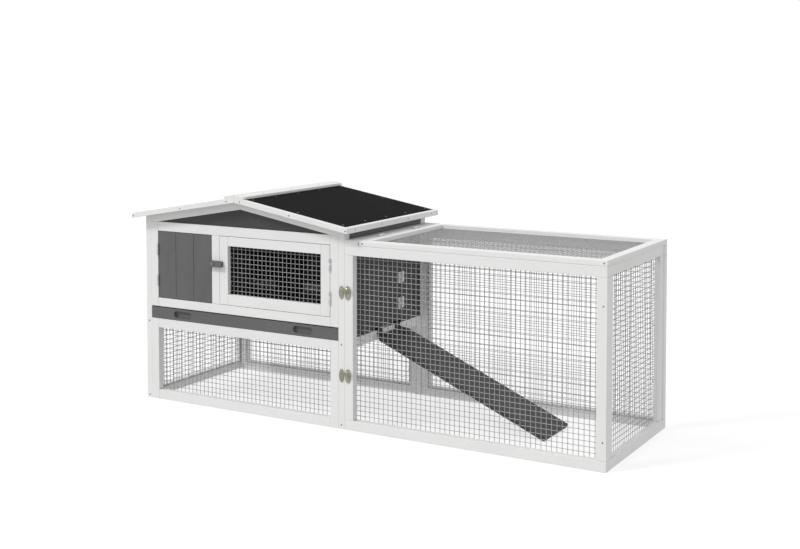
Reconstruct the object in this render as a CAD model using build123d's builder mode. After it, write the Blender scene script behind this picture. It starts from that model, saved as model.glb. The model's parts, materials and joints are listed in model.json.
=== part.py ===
from build123d import *
from math import asin, atan, degrees, radians, sin, tan
import os

os.makedirs("parts", exist_ok=True)

# Overall plan, millimetres: the house stands at the left end, the run at the right.
# The origin is on the floor under the middle of the whole hutch, the front faces -Y.
house_width = 723.0
house_depth = 472.0
run_length = 777.0
eave_overhang = 29.0
gable_overhang = 32.0

# Heights above the floor
lower_tier_top = 250.0
upper_tier_floor = 288.0
head_rail_top = 549.0
gable_rise = 54.0
rafter_depth = 25.0
run_step = 25.5

# Timber sections
batten = 28.0
house_timber = 20.5
run_timber = 22.0
front_stile = 26.5
floor_rail = 26.5
thin_rail = 12.0
plank_thickness = 12.0
plank_face = 69.0
plank_recess = 2.0
vee = 1.2
hairline = 0.2
clearance = 0.3

# Roof covering
deck_thickness = 12.0
felt_thickness = 2.0
edge_board = 12.0
edge_board_drop = 2.0
cap_width = 34.5
cap_thickness = 8.0

# Doors on the front of the upper tier
mid_post_left = 255.0
door_thickness = 15.0
hinge_gap = 2.0
free_gap = 1.2
mesh_door_stile = 30.0
mesh_door_bottom = 31.5
ledge_thickness = 10.0
ledge_inset = 30.0

# Partition between the nest room and the living room
partition_thickness = 16.0
partition_door_front = 161.0
partition_door_width = 150.0
partition_door_top = 470.0

# Pull-out tray that is the floor of the upper tier
tray_front_height = 34.5
tray_front_thickness = 15.0
tray_clearance = 0.6
tray_pan_depth = 425.0
tray_pan_height = 30.0
tray_pan_inset = 10.0
tray_sheet = 1.5
runner_width = 20.0
runner_height = 15.0
slot_length = 68.0
slot_height = 21.0
slot_depth = 9.0
slot_offset = 220.0

# Small door in the wall between the living room and the run
access_hinge_y = 324.0
access_width = 160.0
access_height = 180.0
access_bottom = 9.0

# Run end panel and lid
end_timber = 19.0
end_recess = 3.0
lid_thickness = 14.2
lid_lift_gap = 0.3
fixed_board_width = 45.0

# Wire nets, one sheet each with a wide mesh
wire = 1.2
net_pitch = 64.0
net_lap = 5.0

# Ramp hung on the rail of the wall by two flat hooks
ramp_length = 580.0
ramp_width = 162.0
ramp_thickness = 12.0
ramp_front = 170.0
ramp_top_drop = 12.0
ramp_end_gap = 0.5
ramp_corner = 14.0
ramp_foot_gap = 0.3
hook_width = 28.0
hook_steel = 2.5
hook_strap = 30.0
hook_lip = 5.0
hook_play = 4.0
hook_front = 8.0
hook_spacing = 105.0

# Butt hinges
knuckle_radius = 2.8
pin_radius = 1.4
pin_play = 0.05
knuckle_gap = 0.4
leaf_thickness = 0.9
hinge_length = 36.0
leaf_reach = 14.0
wall_leaf_thickness = 1.2
wall_leaf_reach = 17.0
door_hinge_inset = 36.5
wall_hinge_inset = 35.0
wall_hinge_length = 33.0
lid_hinge_front = 108.0
lid_hinge_back = 122.0

# Turn button on the middle post
button_length = 52.0
button_width = 17.5
button_thickness = 12.0
button_corner = 2.5
button_gap = 0.4
button_rise = 18.8
button_pivot = 20.5
button_post_inset = 11.0
button_screw_radius = 2.2
button_head_radius = 4.5
button_head_height = 1.6

# Twist latches across the seam between house and run
latch_below_top = 134.5
latch_above_floor = 153.0
keeper_width = 16.0
keeper_length = 38.0
base_width = 20.0
base_length = 40.0
latch_plate = 2.0
latch_inset = 1.5
boss_radius = 7.0
boss_height = 3.0
spindle_radius = 2.5
spindle_play = 0.1
spindle_rise = 10.0
draw_bar_width = 9.0
draw_bar_thickness = 2.0
draw_travel = 5.0
draw_nose = 2.0
wing_length = 27.0
wing_thickness = 3.0
wing_height = 9.0
wing_hub_radius = 5.0
wing_hub_height = 2.0

# Places that follow from the sizes above
overall_length = eave_overhang + house_width + run_length
house_left = eave_overhang - overall_length / 2
house_right = house_left + house_width
run_right = house_right + run_length
front = -house_depth / 2
back = house_depth / 2
ridge_x = house_left + house_width / 2
inside_left = house_left + house_timber
inside_right = house_right - house_timber
front_opening = (inside_left + front_stile, inside_right - front_stile)
roof_slope = gable_rise / (ridge_x - front_opening[0])
ridge_underside = head_rail_top + gable_rise + rafter_depth
run_height = head_rail_top - run_step


def roof_under(x):
    """Height of the underside of the roof deck at x."""
    return ridge_underside - roof_slope * abs(x - ridge_x)


def block(x, y, z):
    """Straight piece between the low and high ends of each range."""
    with Locations(((x[0] + x[1]) / 2, (y[0] + y[1]) / 2, (z[0] + z[1]) / 2)):
        Box(x[1] - x[0], y[1] - y[0], z[1] - z[0])


def bar(along, run, depth, z):
    """Straight piece that runs along X or Y."""
    if along == "x":
        block(run, depth, z)
    else:
        block(depth, run, z)


def prism(points, y):
    """Outline in X and Z carried along the range y."""
    with BuildSketch(Plane.XZ.offset(-y[0])) as outline:
        with BuildLine():
            Polyline(*points, close=True)
        make_face()
    extrude(outline.sketch, amount=y[0] - y[1])


def under_roof(x, y, z_low):
    """Piece whose top is cut to the slope of the roof."""
    prism(
        [(x[0], z_low), (x[1], z_low), (x[1], roof_under(x[1])), (x[0], roof_under(x[0]))],
        y,
    )


def roof_band(x, y, low, high):
    """Board that follows one slope of the roof, low to high above the deck underside."""
    prism(
        [
            (x[0], roof_under(x[0]) + low),
            (x[1], roof_under(x[1]) + low),
            (x[1], roof_under(x[1]) + high),
            (x[0], roof_under(x[0]) + high),
        ],
        y,
    )


def inset(span, start, end):
    """Range moved in by start at its low end and by end at its high end."""
    return (span[0] + start, span[1] - end)


def upright_frame(along, span, depth, z, stile, bottom, top, rails_through=False):
    """Two stiles and two rails, each a separate batten."""
    if rails_through:
        rail_span = span
        stile_z = inset(z, bottom + hairline, top + hairline)
    else:
        rail_span = inset(span, stile + hairline, stile + hairline)
        stile_z = z
    bar(along, (span[0], span[0] + stile), depth, stile_z)
    bar(along, (span[1] - stile, span[1]), depth, stile_z)
    bar(along, rail_span, depth, (z[0], z[0] + bottom))
    bar(along, rail_span, depth, (z[1] - top, z[1]))


def plank_row(along, span, depth, z):
    """Row of upright planks with a small bevel down every long edge."""
    count = max(1, round((span[1] - span[0]) / plank_face))
    width = (span[1] - span[0]) / count
    for index in range(count):
        low = span[0] + index * width + (hairline / 2 if index else 0)
        high = span[0] + (index + 1) * width - (hairline / 2 if index < count - 1 else 0)
        section = [
            (low, depth[0] + vee),
            (low + vee, depth[0]),
            (high - vee, depth[0]),
            (high, depth[0] + vee),
            (high, depth[1] - vee),
            (high - vee, depth[1]),
            (low + vee, depth[1]),
            (low, depth[1] - vee),
        ]
        if along == "y":
            section = [(b, a) for a, b in section]
        with BuildSketch(Plane.XY.offset(z[0])) as outline:
            with BuildLine():
                Polyline(*section, close=True)
            make_face()
        extrude(outline.sketch, amount=z[1] - z[0])


def wire_net(plane, width, height):
    """One holed sheet of wire, centred on the plane and rising from it."""
    columns = max(1, round(width / net_pitch))
    rows = max(1, round(height / net_pitch))
    step_x = (width - wire) / columns
    step_y = (height - wire) / rows
    with BuildSketch(plane) as sheet:
        Rectangle(width, height)
        with GridLocations(step_x, step_y, columns, rows):
            Rectangle(step_x - wire, step_y - wire, mode=Mode.SUBTRACT)
    extrude(sheet.sketch, amount=wire)


def net_facing_y(span, z, y):
    """Net across an opening in X and Z, rising from y towards +Y."""
    centre = ((span[0] + span[1]) / 2, y, (z[0] + z[1]) / 2)
    wire_net(Plane(centre, x_dir=(1, 0, 0), z_dir=(0, 1, 0)), span[1] - span[0], z[1] - z[0])


def net_facing_x(span, z, x):
    """Net across an opening in Y and Z, rising from x towards +X."""
    centre = (x, (span[0] + span[1]) / 2, (z[0] + z[1]) / 2)
    wire_net(Plane(centre, x_dir=(0, 1, 0), z_dir=(1, 0, 0)), span[1] - span[0], z[1] - z[0])


def hinge_half(seat, length, knuckles, leaf_x, reach, holds_pin):
    """Leaf and its knuckles, with the pin along the seat's normal and the leaf along its Y."""
    third = length / 3
    leaf_middle = (leaf_x[0] + leaf_x[1]) / 2
    leaf_start = knuckle_radius + knuckle_gap
    for knuckle in knuckles:
        with BuildSketch(seat.offset(knuckle * third + knuckle_gap / 2)) as ring:
            Circle(knuckle_radius)
            with Locations((leaf_middle, leaf_start / 2)):
                Rectangle(leaf_x[1] - leaf_x[0], leaf_start)
            if not holds_pin:
                Circle(pin_radius + pin_play, mode=Mode.SUBTRACT)
        extrude(ring.sketch, amount=third - knuckle_gap)
    if holds_pin:
        with BuildSketch(seat.offset(third / 2)) as pin:
            Circle(pin_radius)
        extrude(pin.sketch, amount=2 * third)
    with BuildSketch(seat) as leaf:
        with Locations((leaf_middle, (leaf_start + reach) / 2)):
            Rectangle(leaf_x[1] - leaf_x[0], reach - leaf_start)
    extrude(leaf.sketch, amount=length)


# House, left side: open frame below, planks above
post_front = (front, front + batten)
post_back = (back - batten, back)
between_posts = (front + batten, back - batten)
side_rail_span = inset(between_posts, hairline, hairline)
side_top_rail = roof_under(house_left) - batten
lower_rail_bottom = lower_tier_top - batten

with BuildPart() as left_side_frame:
    wall_x = (house_left, inside_left)
    under_roof(wall_x, post_front, 0)
    under_roof(wall_x, post_back, 0)
    block(wall_x, side_rail_span, (0, batten))
    block(wall_x, side_rail_span, (lower_rail_bottom, lower_tier_top))
    under_roof(wall_x, side_rail_span, side_top_rail)
left_side_frame.part.label = "left_side_frame"
export_step(left_side_frame.part, "parts/left_side_frame.step")

with BuildPart() as left_wall:
    plank_x = (house_left + plank_recess, house_left + plank_recess + plank_thickness)
    plank_row("y", between_posts, plank_x, (lower_tier_top, side_top_rail))
left_wall.part.label = "left_wall"
export_step(left_wall.part, "parts/left_wall.step")

with BuildPart() as left_net:
    net_facing_x(
        inset(between_posts, -net_lap, -net_lap),
        (batten - net_lap, lower_rail_bottom + net_lap),
        inside_left,
    )
left_net.part.label = "left_net"
export_step(left_net.part, "parts/left_net.step")

# House, right side: posts, a thin rail for the ramp and a plank wall with a doorway
access_back = front + access_hinge_y
access_front = access_back - access_width
access_z = (lower_tier_top + access_bottom, lower_tier_top + access_bottom + access_height)
doorway_top = access_z[1] + free_gap
rail_inner_x = house_right - thin_rail

with BuildPart() as right_side_frame:
    wall_x = (inside_right, house_right)
    under_roof(wall_x, post_front, 0)
    under_roof(wall_x, post_back, 0)
    block((rail_inner_x, house_right), side_rail_span, (lower_rail_bottom, lower_tier_top))
    under_roof(wall_x, side_rail_span, side_top_rail)
right_side_frame.part.label = "right_side_frame"
export_step(right_side_frame.part, "parts/right_side_frame.step")

right_plank_x = (house_right - plank_recess - plank_thickness, house_right - plank_recess)
with BuildPart() as right_wall:
    plank_row("y", (between_posts[0], access_front), right_plank_x, (lower_tier_top, side_top_rail))
    plank_row("y", (access_back, between_posts[1]), right_plank_x, (lower_tier_top, side_top_rail))
    plank_row(
        "y",
        inset((access_front, access_back), hairline, hairline),
        right_plank_x,
        (doorway_top, side_top_rail),
    )
right_wall.part.label = "right_wall"
export_step(right_wall.part, "parts/right_wall.step")

# House, back: stiles the full height, four rails, planks above and net below
back_frame_y = (back - house_timber, back)
upper_rail_top = upper_tier_floor + floor_rail
head_rail_bottom = head_rail_top - batten
back_rail_x = inset(front_opening, hairline, hairline)

with BuildPart() as back_frame:
    block((inside_left, front_opening[0]), back_frame_y, (0, head_rail_top))
    block((front_opening[1], inside_right), back_frame_y, (0, head_rail_top))
    block(back_rail_x, back_frame_y, (0, batten))
    block(back_rail_x, back_frame_y, (lower_rail_bottom, lower_tier_top))
    block(back_rail_x, back_frame_y, (upper_tier_floor, upper_rail_top))
    block(back_rail_x, back_frame_y, (head_rail_bottom, head_rail_top))
back_frame.part.label = "back_frame"
export_step(back_frame.part, "parts/back_frame.step")

back_plank_y = (back - plank_recess - plank_thickness, back - plank_recess)
with BuildPart() as back_wall:
    plank_row("x", front_opening, back_plank_y, (upper_rail_top, head_rail_bottom))
    block(back_rail_x, back_plank_y, (lower_tier_top, upper_tier_floor))
back_wall.part.label = "back_wall"
export_step(back_wall.part, "parts/back_wall.step")

with BuildPart() as back_net:
    net_facing_y(
        inset(front_opening, -net_lap, -net_lap),
        (batten - net_lap, lower_rail_bottom + net_lap),
        back_frame_y[0] - wire,
    )
back_net.part.label = "back_net"
export_step(back_net.part, "parts/back_net.step")

# House, lower front: open frame with a net behind it
front_frame_y = (front, front + house_timber)

with BuildPart() as front_lower_frame:
    upright_frame(
        "x",
        (inside_left, inside_right),
        front_frame_y,
        (0, lower_tier_top),
        front_stile,
        batten,
        batten,
    )
front_lower_frame.part.label = "front_lower_frame"
export_step(front_lower_frame.part, "parts/front_lower_frame.step")

with BuildPart() as front_lower_net:
    net_facing_y(
        inset(front_opening, -net_lap, -net_lap),
        (batten - net_lap, lower_rail_bottom + net_lap),
        front_frame_y[1],
    )
front_lower_net.part.label = "front_lower_net"
export_step(front_lower_net.part, "parts/front_lower_net.step")

# House, upper front: door frame with a middle post
mid_post_x = (house_left + mid_post_left, house_left + mid_post_left + batten)
door_z = (upper_rail_top, head_rail_bottom)

with BuildPart() as front_upper_frame:
    upright_frame(
        "x",
        (inside_left, inside_right),
        front_frame_y,
        (upper_tier_floor, head_rail_top),
        front_stile,
        floor_rail,
        batten,
    )
    block(mid_post_x, front_frame_y, inset(door_z, hairline, hairline))
front_upper_frame.part.label = "front_upper_frame"
export_step(front_upper_frame.part, "parts/front_upper_frame.step")

# Gables: a dark triangular panel behind two rafters at each end
gable_outline = [
    (front_opening[0], head_rail_top),
    (front_opening[1], head_rail_top),
    (ridge_x, head_rail_top + gable_rise),
]
gable_inset = (house_timber - plank_thickness) / 2


def rafter_pair(y):
    """Left and right rafter of one gable, level-cut at the foot."""
    for side in (-1, 1):
        foot = inside_left if side < 0 else inside_right
        shoulder = front_opening[0] if side < 0 else front_opening[1]
        top = ridge_x + side * hairline / 2
        prism(
            [
                (foot, head_rail_top),
                (shoulder, head_rail_top),
                (top, roof_under(top) - rafter_depth),
                (top, roof_under(top)),
                (foot, roof_under(foot)),
            ],
            y,
        )


with BuildPart() as front_gable:
    prism(gable_outline, inset(front_frame_y, gable_inset, gable_inset))
front_gable.part.label = "front_gable"
export_step(front_gable.part, "parts/front_gable.step")

with BuildPart() as back_gable:
    prism(gable_outline, inset(back_frame_y, gable_inset, gable_inset))
back_gable.part.label = "back_gable"
export_step(back_gable.part, "parts/back_gable.step")

with BuildPart() as front_rafters:
    rafter_pair(front_frame_y)
front_rafters.part.label = "front_rafters"
export_step(front_rafters.part, "parts/front_rafters.step")

with BuildPart() as back_rafters:
    rafter_pair(back_frame_y)
back_rafters.part.label = "back_rafters"
export_step(back_rafters.part, "parts/back_rafters.step")

# Partition in line with the middle post
partition_x = (mid_post_x[1] - partition_thickness, mid_post_x[1])
partition_y = (front_frame_y[1], back_frame_y[0])
partition_gap = (front + partition_door_front, front + partition_door_front + partition_door_width)

with BuildPart() as partition:
    plank_row("y", (partition_y[0], partition_gap[0]), partition_x, (upper_tier_floor, head_rail_top))
    plank_row("y", (partition_gap[1], partition_y[1]), partition_x, (upper_tier_floor, head_rail_top))
    plank_row(
        "y",
        inset(partition_gap, hairline, hairline),
        partition_x,
        (partition_door_top, head_rail_top),
    )
partition.part.label = "partition"
export_step(partition.part, "parts/partition.step")

# Runners for the tray, between the front and back frames
runner_y = (front_frame_y[1], back_frame_y[0])
runner_z = (lower_tier_top - runner_height, lower_tier_top)

with BuildPart() as tray_runners:
    block((inside_left, inside_left + runner_width), runner_y, runner_z)
    block((inside_right - runner_width, inside_right), runner_y, runner_z)
tray_runners.part.label = "tray_runners"
export_step(tray_runners.part, "parts/tray_runners.step")

# Tray: a front board with two finger pockets, and a sheet pan behind it
tray_x = (inside_left + tray_clearance, inside_right - tray_clearance)
tray_z = (lower_tier_top + tray_clearance, lower_tier_top + tray_clearance + tray_front_height)
tray_front_y = (front, front + tray_front_thickness)

with BuildPart() as tray_front:
    block(tray_x, tray_front_y, tray_z)
    slot_plane = Plane((ridge_x, front, (tray_z[0] + tray_z[1]) / 2), x_dir=(1, 0, 0), z_dir=(0, 1, 0))
    with BuildSketch(slot_plane) as slots:
        with Locations((-slot_offset, 0), (slot_offset, 0)):
            SlotOverall(slot_length, slot_height)
    extrude(slots.sketch, amount=slot_depth, mode=Mode.SUBTRACT)
tray_front.part.label = "tray_front"
export_step(tray_front.part, "parts/tray_front.step")

pan_x = inset((inside_left, inside_right), tray_pan_inset, tray_pan_inset)
pan_y = (tray_front_y[1], tray_front_y[1] + tray_pan_depth)
pan_z = (tray_z[0], tray_z[0] + tray_pan_height)

with BuildPart() as tray_pan:
    block(pan_x, pan_y, pan_z)
    with BuildSketch(Plane.XY.offset(pan_z[0] + tray_sheet)) as hollow:
        with Locations(((pan_x[0] + pan_x[1]) / 2, (pan_y[0] + pan_y[1]) / 2)):
            Rectangle(pan_x[1] - pan_x[0] - 2 * tray_sheet, pan_y[1] - pan_y[0] - 2 * tray_sheet)
    extrude(hollow.sketch, amount=tray_pan_height, mode=Mode.SUBTRACT)
tray_pan.part.label = "tray_pan"
export_step(tray_pan.part, "parts/tray_pan.step")

# Roof: two decks, felt on each, edge boards all round and a two-board ridge cap
roof_left = house_left - eave_overhang
roof_right = house_right + eave_overhang
roof_front = front - gable_overhang
roof_back = back + gable_overhang
deck_y = (roof_front + edge_board, roof_back - edge_board)
felt_top = deck_thickness + felt_thickness
slopes = {
    "left": (roof_left, ridge_x - hairline / 2),
    "right": (ridge_x + hairline / 2, roof_right),
}
decks_x = {
    "left": (roof_left + edge_board, ridge_x - hairline / 2),
    "right": (ridge_x + hairline / 2, roof_right - edge_board),
}
fascias_x = {
    "left": (roof_left, roof_left + edge_board),
    "right": (roof_right - edge_board, roof_right),
}
caps_x = {
    "left": (ridge_x - cap_width, ridge_x - hairline / 2),
    "right": (ridge_x + hairline / 2, ridge_x + cap_width),
}

for side in ("left", "right"):
    with BuildPart() as roof_deck:
        roof_band(decks_x[side], deck_y, 0, deck_thickness)
    roof_deck.part.label = f"roof_deck_{side}"
    export_step(roof_deck.part, f"parts/roof_deck_{side}.step")

    with BuildPart() as roof_felt:
        roof_band(decks_x[side], deck_y, deck_thickness, felt_top)
    roof_felt.part.label = f"roof_felt_{side}"
    export_step(roof_felt.part, f"parts/roof_felt_{side}.step")

    with BuildPart() as eave_board:
        roof_band(fascias_x[side], deck_y, -edge_board_drop, felt_top)
    eave_board.part.label = f"eave_board_{side}"
    export_step(eave_board.part, f"parts/eave_board_{side}.step")

    with BuildPart() as ridge_cap:
        roof_band(caps_x[side], (roof_front, roof_back), felt_top, felt_top + cap_thickness)
    ridge_cap.part.label = f"ridge_cap_{side}"
    export_step(ridge_cap.part, f"parts/ridge_cap_{side}.step")

verges = {"front": (roof_front, deck_y[0]), "back": (deck_y[1], roof_back)}
for end in ("front", "back"):
    with BuildPart() as bargeboards:
        for side in ("left", "right"):
            roof_band(slopes[side], verges[end], -edge_board_drop, felt_top)
    bargeboards.part.label = f"{end}_bargeboards"
    export_step(bargeboards.part, f"parts/{end}_bargeboards.step")

# Run: front, back and end panels
run_x = (house_right, run_right)
run_z = (0, run_height)
run_front_y = (front, front + run_timber)
run_back_y = (back - run_timber, back)
run_between = (run_front_y[1], run_back_y[0])
run_window = inset(run_x, batten, batten)
run_window_z = inset(run_z, batten, batten)

with BuildPart() as run_front_frame:
    upright_frame("x", run_x, run_front_y, run_z, batten, batten, batten, rails_through=True)
run_front_frame.part.label = "run_front_frame"
export_step(run_front_frame.part, "parts/run_front_frame.step")

with BuildPart() as run_back_frame:
    upright_frame("x", run_x, run_back_y, run_z, batten, batten, batten, rails_through=True)
run_back_frame.part.label = "run_back_frame"
export_step(run_back_frame.part, "parts/run_back_frame.step")

end_inner_x = run_right - end_timber
end_flush = (end_inner_x, run_right)
end_set_back = (end_inner_x, run_right - end_recess)

with BuildPart() as run_end_frame:
    stile_z = inset(run_window_z, hairline, hairline)
    block(end_flush, run_between, (0, batten))
    block(end_set_back, run_between, (run_height - batten, run_height))
    block(end_set_back, (run_between[0], run_between[0] + batten), stile_z)
    block(end_set_back, (run_between[1] - batten, run_between[1]), stile_z)
run_end_frame.part.label = "run_end_frame"
export_step(run_end_frame.part, "parts/run_end_frame.step")

net_z = inset(run_window_z, -net_lap, -net_lap)
with BuildPart() as run_front_net:
    net_facing_y(inset(run_window, -net_lap, -net_lap), net_z, run_front_y[1])
run_front_net.part.label = "run_front_net"
export_step(run_front_net.part, "parts/run_front_net.step")

with BuildPart() as run_back_net:
    net_facing_y(inset(run_window, -net_lap, -net_lap), net_z, run_back_y[0] - wire)
run_back_net.part.label = "run_back_net"
export_step(run_back_net.part, "parts/run_back_net.step")

with BuildPart() as run_end_net:
    net_facing_x(inset(run_between, batten - net_lap, batten - net_lap), net_z, end_inner_x - wire)
run_end_net.part.label = "run_end_net"
export_step(run_end_net.part, "parts/run_end_net.step")

# Roof of the run: a fixed board along the house and a hinged lid with a net
lid_left = house_right + fixed_board_width + hinge_gap
lid_z = (run_height + lid_lift_gap, run_height + lid_lift_gap + lid_thickness)
lid_window_x = (lid_left + batten, run_right - batten)
lid_window_y = (front + batten, back - batten)

with BuildPart() as fixed_lid_board:
    block((house_right, house_right + fixed_board_width), (front, back), (run_height, lid_z[1]))
fixed_lid_board.part.label = "fixed_lid_board"
export_step(fixed_lid_board.part, "parts/fixed_lid_board.step")

with BuildPart() as lid_frame:
    block((lid_left, run_right), post_front, lid_z)
    block((lid_left, run_right), post_back, lid_z)
    block((lid_left, lid_window_x[0]), side_rail_span, lid_z)
    block((lid_window_x[1], run_right), side_rail_span, lid_z)
lid_frame.part.label = "lid_frame"
export_step(lid_frame.part, "parts/lid_frame.step")

with BuildPart() as lid_net:
    lid_net_centre = (
        (lid_window_x[0] + lid_window_x[1]) / 2,
        (lid_window_y[0] + lid_window_y[1]) / 2,
        lid_z[0],
    )
    wire_net(
        Plane(lid_net_centre),
        lid_window_x[1] - lid_window_x[0],
        lid_window_y[1] - lid_window_y[0],
    )
lid_net.part.label = "lid_net"
export_step(lid_net.part, "parts/lid_net.step")

# Plank door of the nest room, hinged on its left edge
plank_door_x = (front_opening[0] + hinge_gap, mid_post_x[0] - free_gap)
swing_z = inset(door_z, free_gap, free_gap)
door_y = (front, front + door_thickness)

with BuildPart() as plank_door:
    plank_row("x", plank_door_x, door_y, swing_z)
plank_door.part.label = "plank_door"
export_step(plank_door.part, "parts/plank_door.step")

with BuildPart() as plank_door_ledges:
    ledge_x = inset(plank_door_x, 2 * vee + ledge_thickness, 2 * vee + ledge_thickness)
    ledge_y = (door_y[1], door_y[1] + ledge_thickness)
    block(ledge_x, ledge_y, (swing_z[0] + ledge_inset, swing_z[0] + ledge_inset + batten))
    block(ledge_x, ledge_y, (swing_z[1] - ledge_inset - batten, swing_z[1] - ledge_inset))
plank_door_ledges.part.label = "plank_door_ledges"
export_step(plank_door_ledges.part, "parts/plank_door_ledges.step")

# Mesh door of the living room, hinged on its right edge
mesh_door_x = (mid_post_x[1] + free_gap, front_opening[1] - hinge_gap)

with BuildPart() as mesh_door_frame:
    upright_frame("x", mesh_door_x, door_y, swing_z, mesh_door_stile, mesh_door_bottom, batten)
mesh_door_frame.part.label = "mesh_door_frame"
export_step(mesh_door_frame.part, "parts/mesh_door_frame.step")

with BuildPart() as mesh_door_net:
    net_facing_y(
        inset(mesh_door_x, mesh_door_stile - net_lap, mesh_door_stile - net_lap),
        (swing_z[0] + mesh_door_bottom - net_lap, swing_z[1] - batten + net_lap),
        door_y[1],
    )
mesh_door_net.part.label = "mesh_door_net"
export_step(mesh_door_net.part, "parts/mesh_door_net.step")

# Small plank door between the living room and the run
with BuildPart() as access_door:
    plank_row("y", inset((access_front, access_back), free_gap, hinge_gap / 2), right_plank_x, access_z)
access_door.part.label = "access_door"
export_step(access_door.part, "parts/access_door.step")

# Ramp: a plank with cut top corners, leaning from the rail to the floor
ramp_top_z = lower_tier_top - ramp_top_drop
ramp_diagonal = (ramp_length**2 + ramp_thickness**2) ** 0.5
ramp_angle = degrees(
    asin((ramp_top_z - ramp_foot_gap) / ramp_diagonal) - atan(ramp_thickness / ramp_length)
)
ramp_top_x = house_right + ramp_end_gap + ramp_thickness * sin(radians(ramp_angle))
ramp_y = (front + ramp_front, front + ramp_front + ramp_width)
ramp_plane = Plane(
    (ramp_top_x, (ramp_y[0] + ramp_y[1]) / 2, ramp_top_z), x_dir=(1, 0, 0), z_dir=(0, 0, 1)
).rotated((0, ramp_angle, 0))

with BuildPart() as ramp:
    with BuildSketch(ramp_plane) as ramp_outline:
        with BuildLine():
            Polyline(
                (0, ramp_corner - ramp_width / 2),
                (ramp_corner, -ramp_width / 2),
                (ramp_length, -ramp_width / 2),
                (ramp_length, ramp_width / 2),
                (ramp_corner, ramp_width / 2),
                (0, ramp_width / 2 - ramp_corner),
                close=True,
            )
        make_face()
    extrude(ramp_outline.sketch, amount=-ramp_thickness)
ramp.part.label = "ramp"
export_step(ramp.part, "parts/ramp.step")


def on_ramp(distance, height):
    """Point in X and Z at a distance down the ramp and a height off its top face."""
    point = ramp_plane.from_local_coords((distance, 0, height))
    return (point.X, point.Z)


hook_over = lower_tier_top + clearance
hook_inner_x = rail_inner_x - hook_play
hook_face_x = house_right + clearance
ramp_slope = tan(radians(ramp_angle))
hook_outline = [
    on_ramp(hook_strap, 0),
    (hook_face_x, ramp_top_z + (ramp_top_x - hook_face_x) * ramp_slope),
    (hook_face_x, hook_over),
    (hook_inner_x, hook_over),
    (hook_inner_x, hook_over - hook_lip),
    (hook_inner_x - hook_steel, hook_over - hook_lip),
    (hook_inner_x - hook_steel, hook_over + hook_steel),
    (hook_face_x + hook_steel, hook_over + hook_steel),
    (
        hook_face_x + hook_steel,
        on_ramp(0, hook_steel)[1] + (on_ramp(0, hook_steel)[0] - hook_face_x - hook_steel) * ramp_slope,
    ),
    on_ramp(hook_strap, hook_steel),
]

with BuildPart() as ramp_hooks:
    for place in (hook_front, hook_front + hook_spacing):
        prism(hook_outline, (ramp_y[0] + place, ramp_y[0] + place + hook_width))
ramp_hooks.part.label = "ramp_hooks"
export_step(ramp_hooks.part, "parts/ramp_hooks.step")

# Butt hinges: left door, right door, lid and the small door in the wall
hinge_y = front - knuckle_radius - clearance / 2
plank_hinge_x = front_opening[0] + hinge_gap / 2
mesh_hinge_x = front_opening[1] - hinge_gap / 2
lid_hinge_x = lid_left - hinge_gap / 2
lid_hinge_z = lid_z[1] + knuckle_radius + clearance / 2
wall_hinge_x = right_plank_x[1] + knuckle_radius
low_leaf = (-hinge_gap / 2, -hinge_gap / 2 + leaf_thickness)
high_leaf = (hinge_gap / 2 - leaf_thickness, hinge_gap / 2)
wall_leaf = (-knuckle_radius, -knuckle_radius + wall_leaf_thickness)
door_leaf = (knuckle_radius - wall_leaf_thickness, knuckle_radius)


def upright_seats(x, y, heights, facing=1):
    """Pin planes of a pair of upright hinges, leaf towards +Y or -Y."""
    return [Plane((x, y, z), x_dir=(facing, 0, 0), z_dir=(0, 0, 1)) for z in heights]


door_hinges_z = (swing_z[0] + door_hinge_inset, swing_z[1] - door_hinge_inset - hinge_length)
wall_hinges_z = (
    access_z[0] + wall_hinge_inset,
    access_z[1] - wall_hinge_inset - wall_hinge_length,
)
plank_seats = upright_seats(plank_hinge_x, hinge_y, door_hinges_z)
mesh_seats = upright_seats(mesh_hinge_x, hinge_y, door_hinges_z)
wall_seats = upright_seats(wall_hinge_x, access_back, wall_hinges_z)
leaf_seats = upright_seats(wall_hinge_x, access_back, wall_hinges_z, facing=-1)
lid_seats = [
    Plane((lid_hinge_x, y, lid_hinge_z), x_dir=(1, 0, 0), z_dir=(0, 1, 0))
    for y in (front + lid_hinge_front, back - lid_hinge_back - hinge_length)
]
outer = (0, 2)
middle = (1,)

with BuildPart() as fixed_hinge_leaves:
    for seat in plank_seats + lid_seats:
        hinge_half(seat, hinge_length, outer, low_leaf, leaf_reach, holds_pin=True)
    for seat in mesh_seats:
        hinge_half(seat, hinge_length, outer, high_leaf, leaf_reach, holds_pin=True)
    for seat in wall_seats:
        hinge_half(seat, wall_hinge_length, outer, wall_leaf, wall_leaf_reach, holds_pin=True)
fixed_hinge_leaves.part.label = "fixed_hinge_leaves"
export_step(fixed_hinge_leaves.part, "parts/fixed_hinge_leaves.step")

with BuildPart() as plank_door_leaves:
    for seat in plank_seats:
        hinge_half(seat, hinge_length, middle, high_leaf, leaf_reach, holds_pin=False)
plank_door_leaves.part.label = "plank_door_leaves"
export_step(plank_door_leaves.part, "parts/plank_door_leaves.step")

with BuildPart() as mesh_door_leaves:
    for seat in mesh_seats:
        hinge_half(seat, hinge_length, middle, low_leaf, leaf_reach, holds_pin=False)
mesh_door_leaves.part.label = "mesh_door_leaves"
export_step(mesh_door_leaves.part, "parts/mesh_door_leaves.step")

with BuildPart() as lid_leaves:
    for seat in lid_seats:
        hinge_half(seat, hinge_length, middle, high_leaf, leaf_reach, holds_pin=False)
lid_leaves.part.label = "lid_leaves"
export_step(lid_leaves.part, "parts/lid_leaves.step")

with BuildPart() as access_door_leaves:
    for seat in leaf_seats:
        hinge_half(seat, wall_hinge_length, middle, door_leaf, wall_leaf_reach, holds_pin=False)
access_door_leaves.part.label = "access_door_leaves"
export_step(access_door_leaves.part, "parts/access_door_leaves.step")

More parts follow.
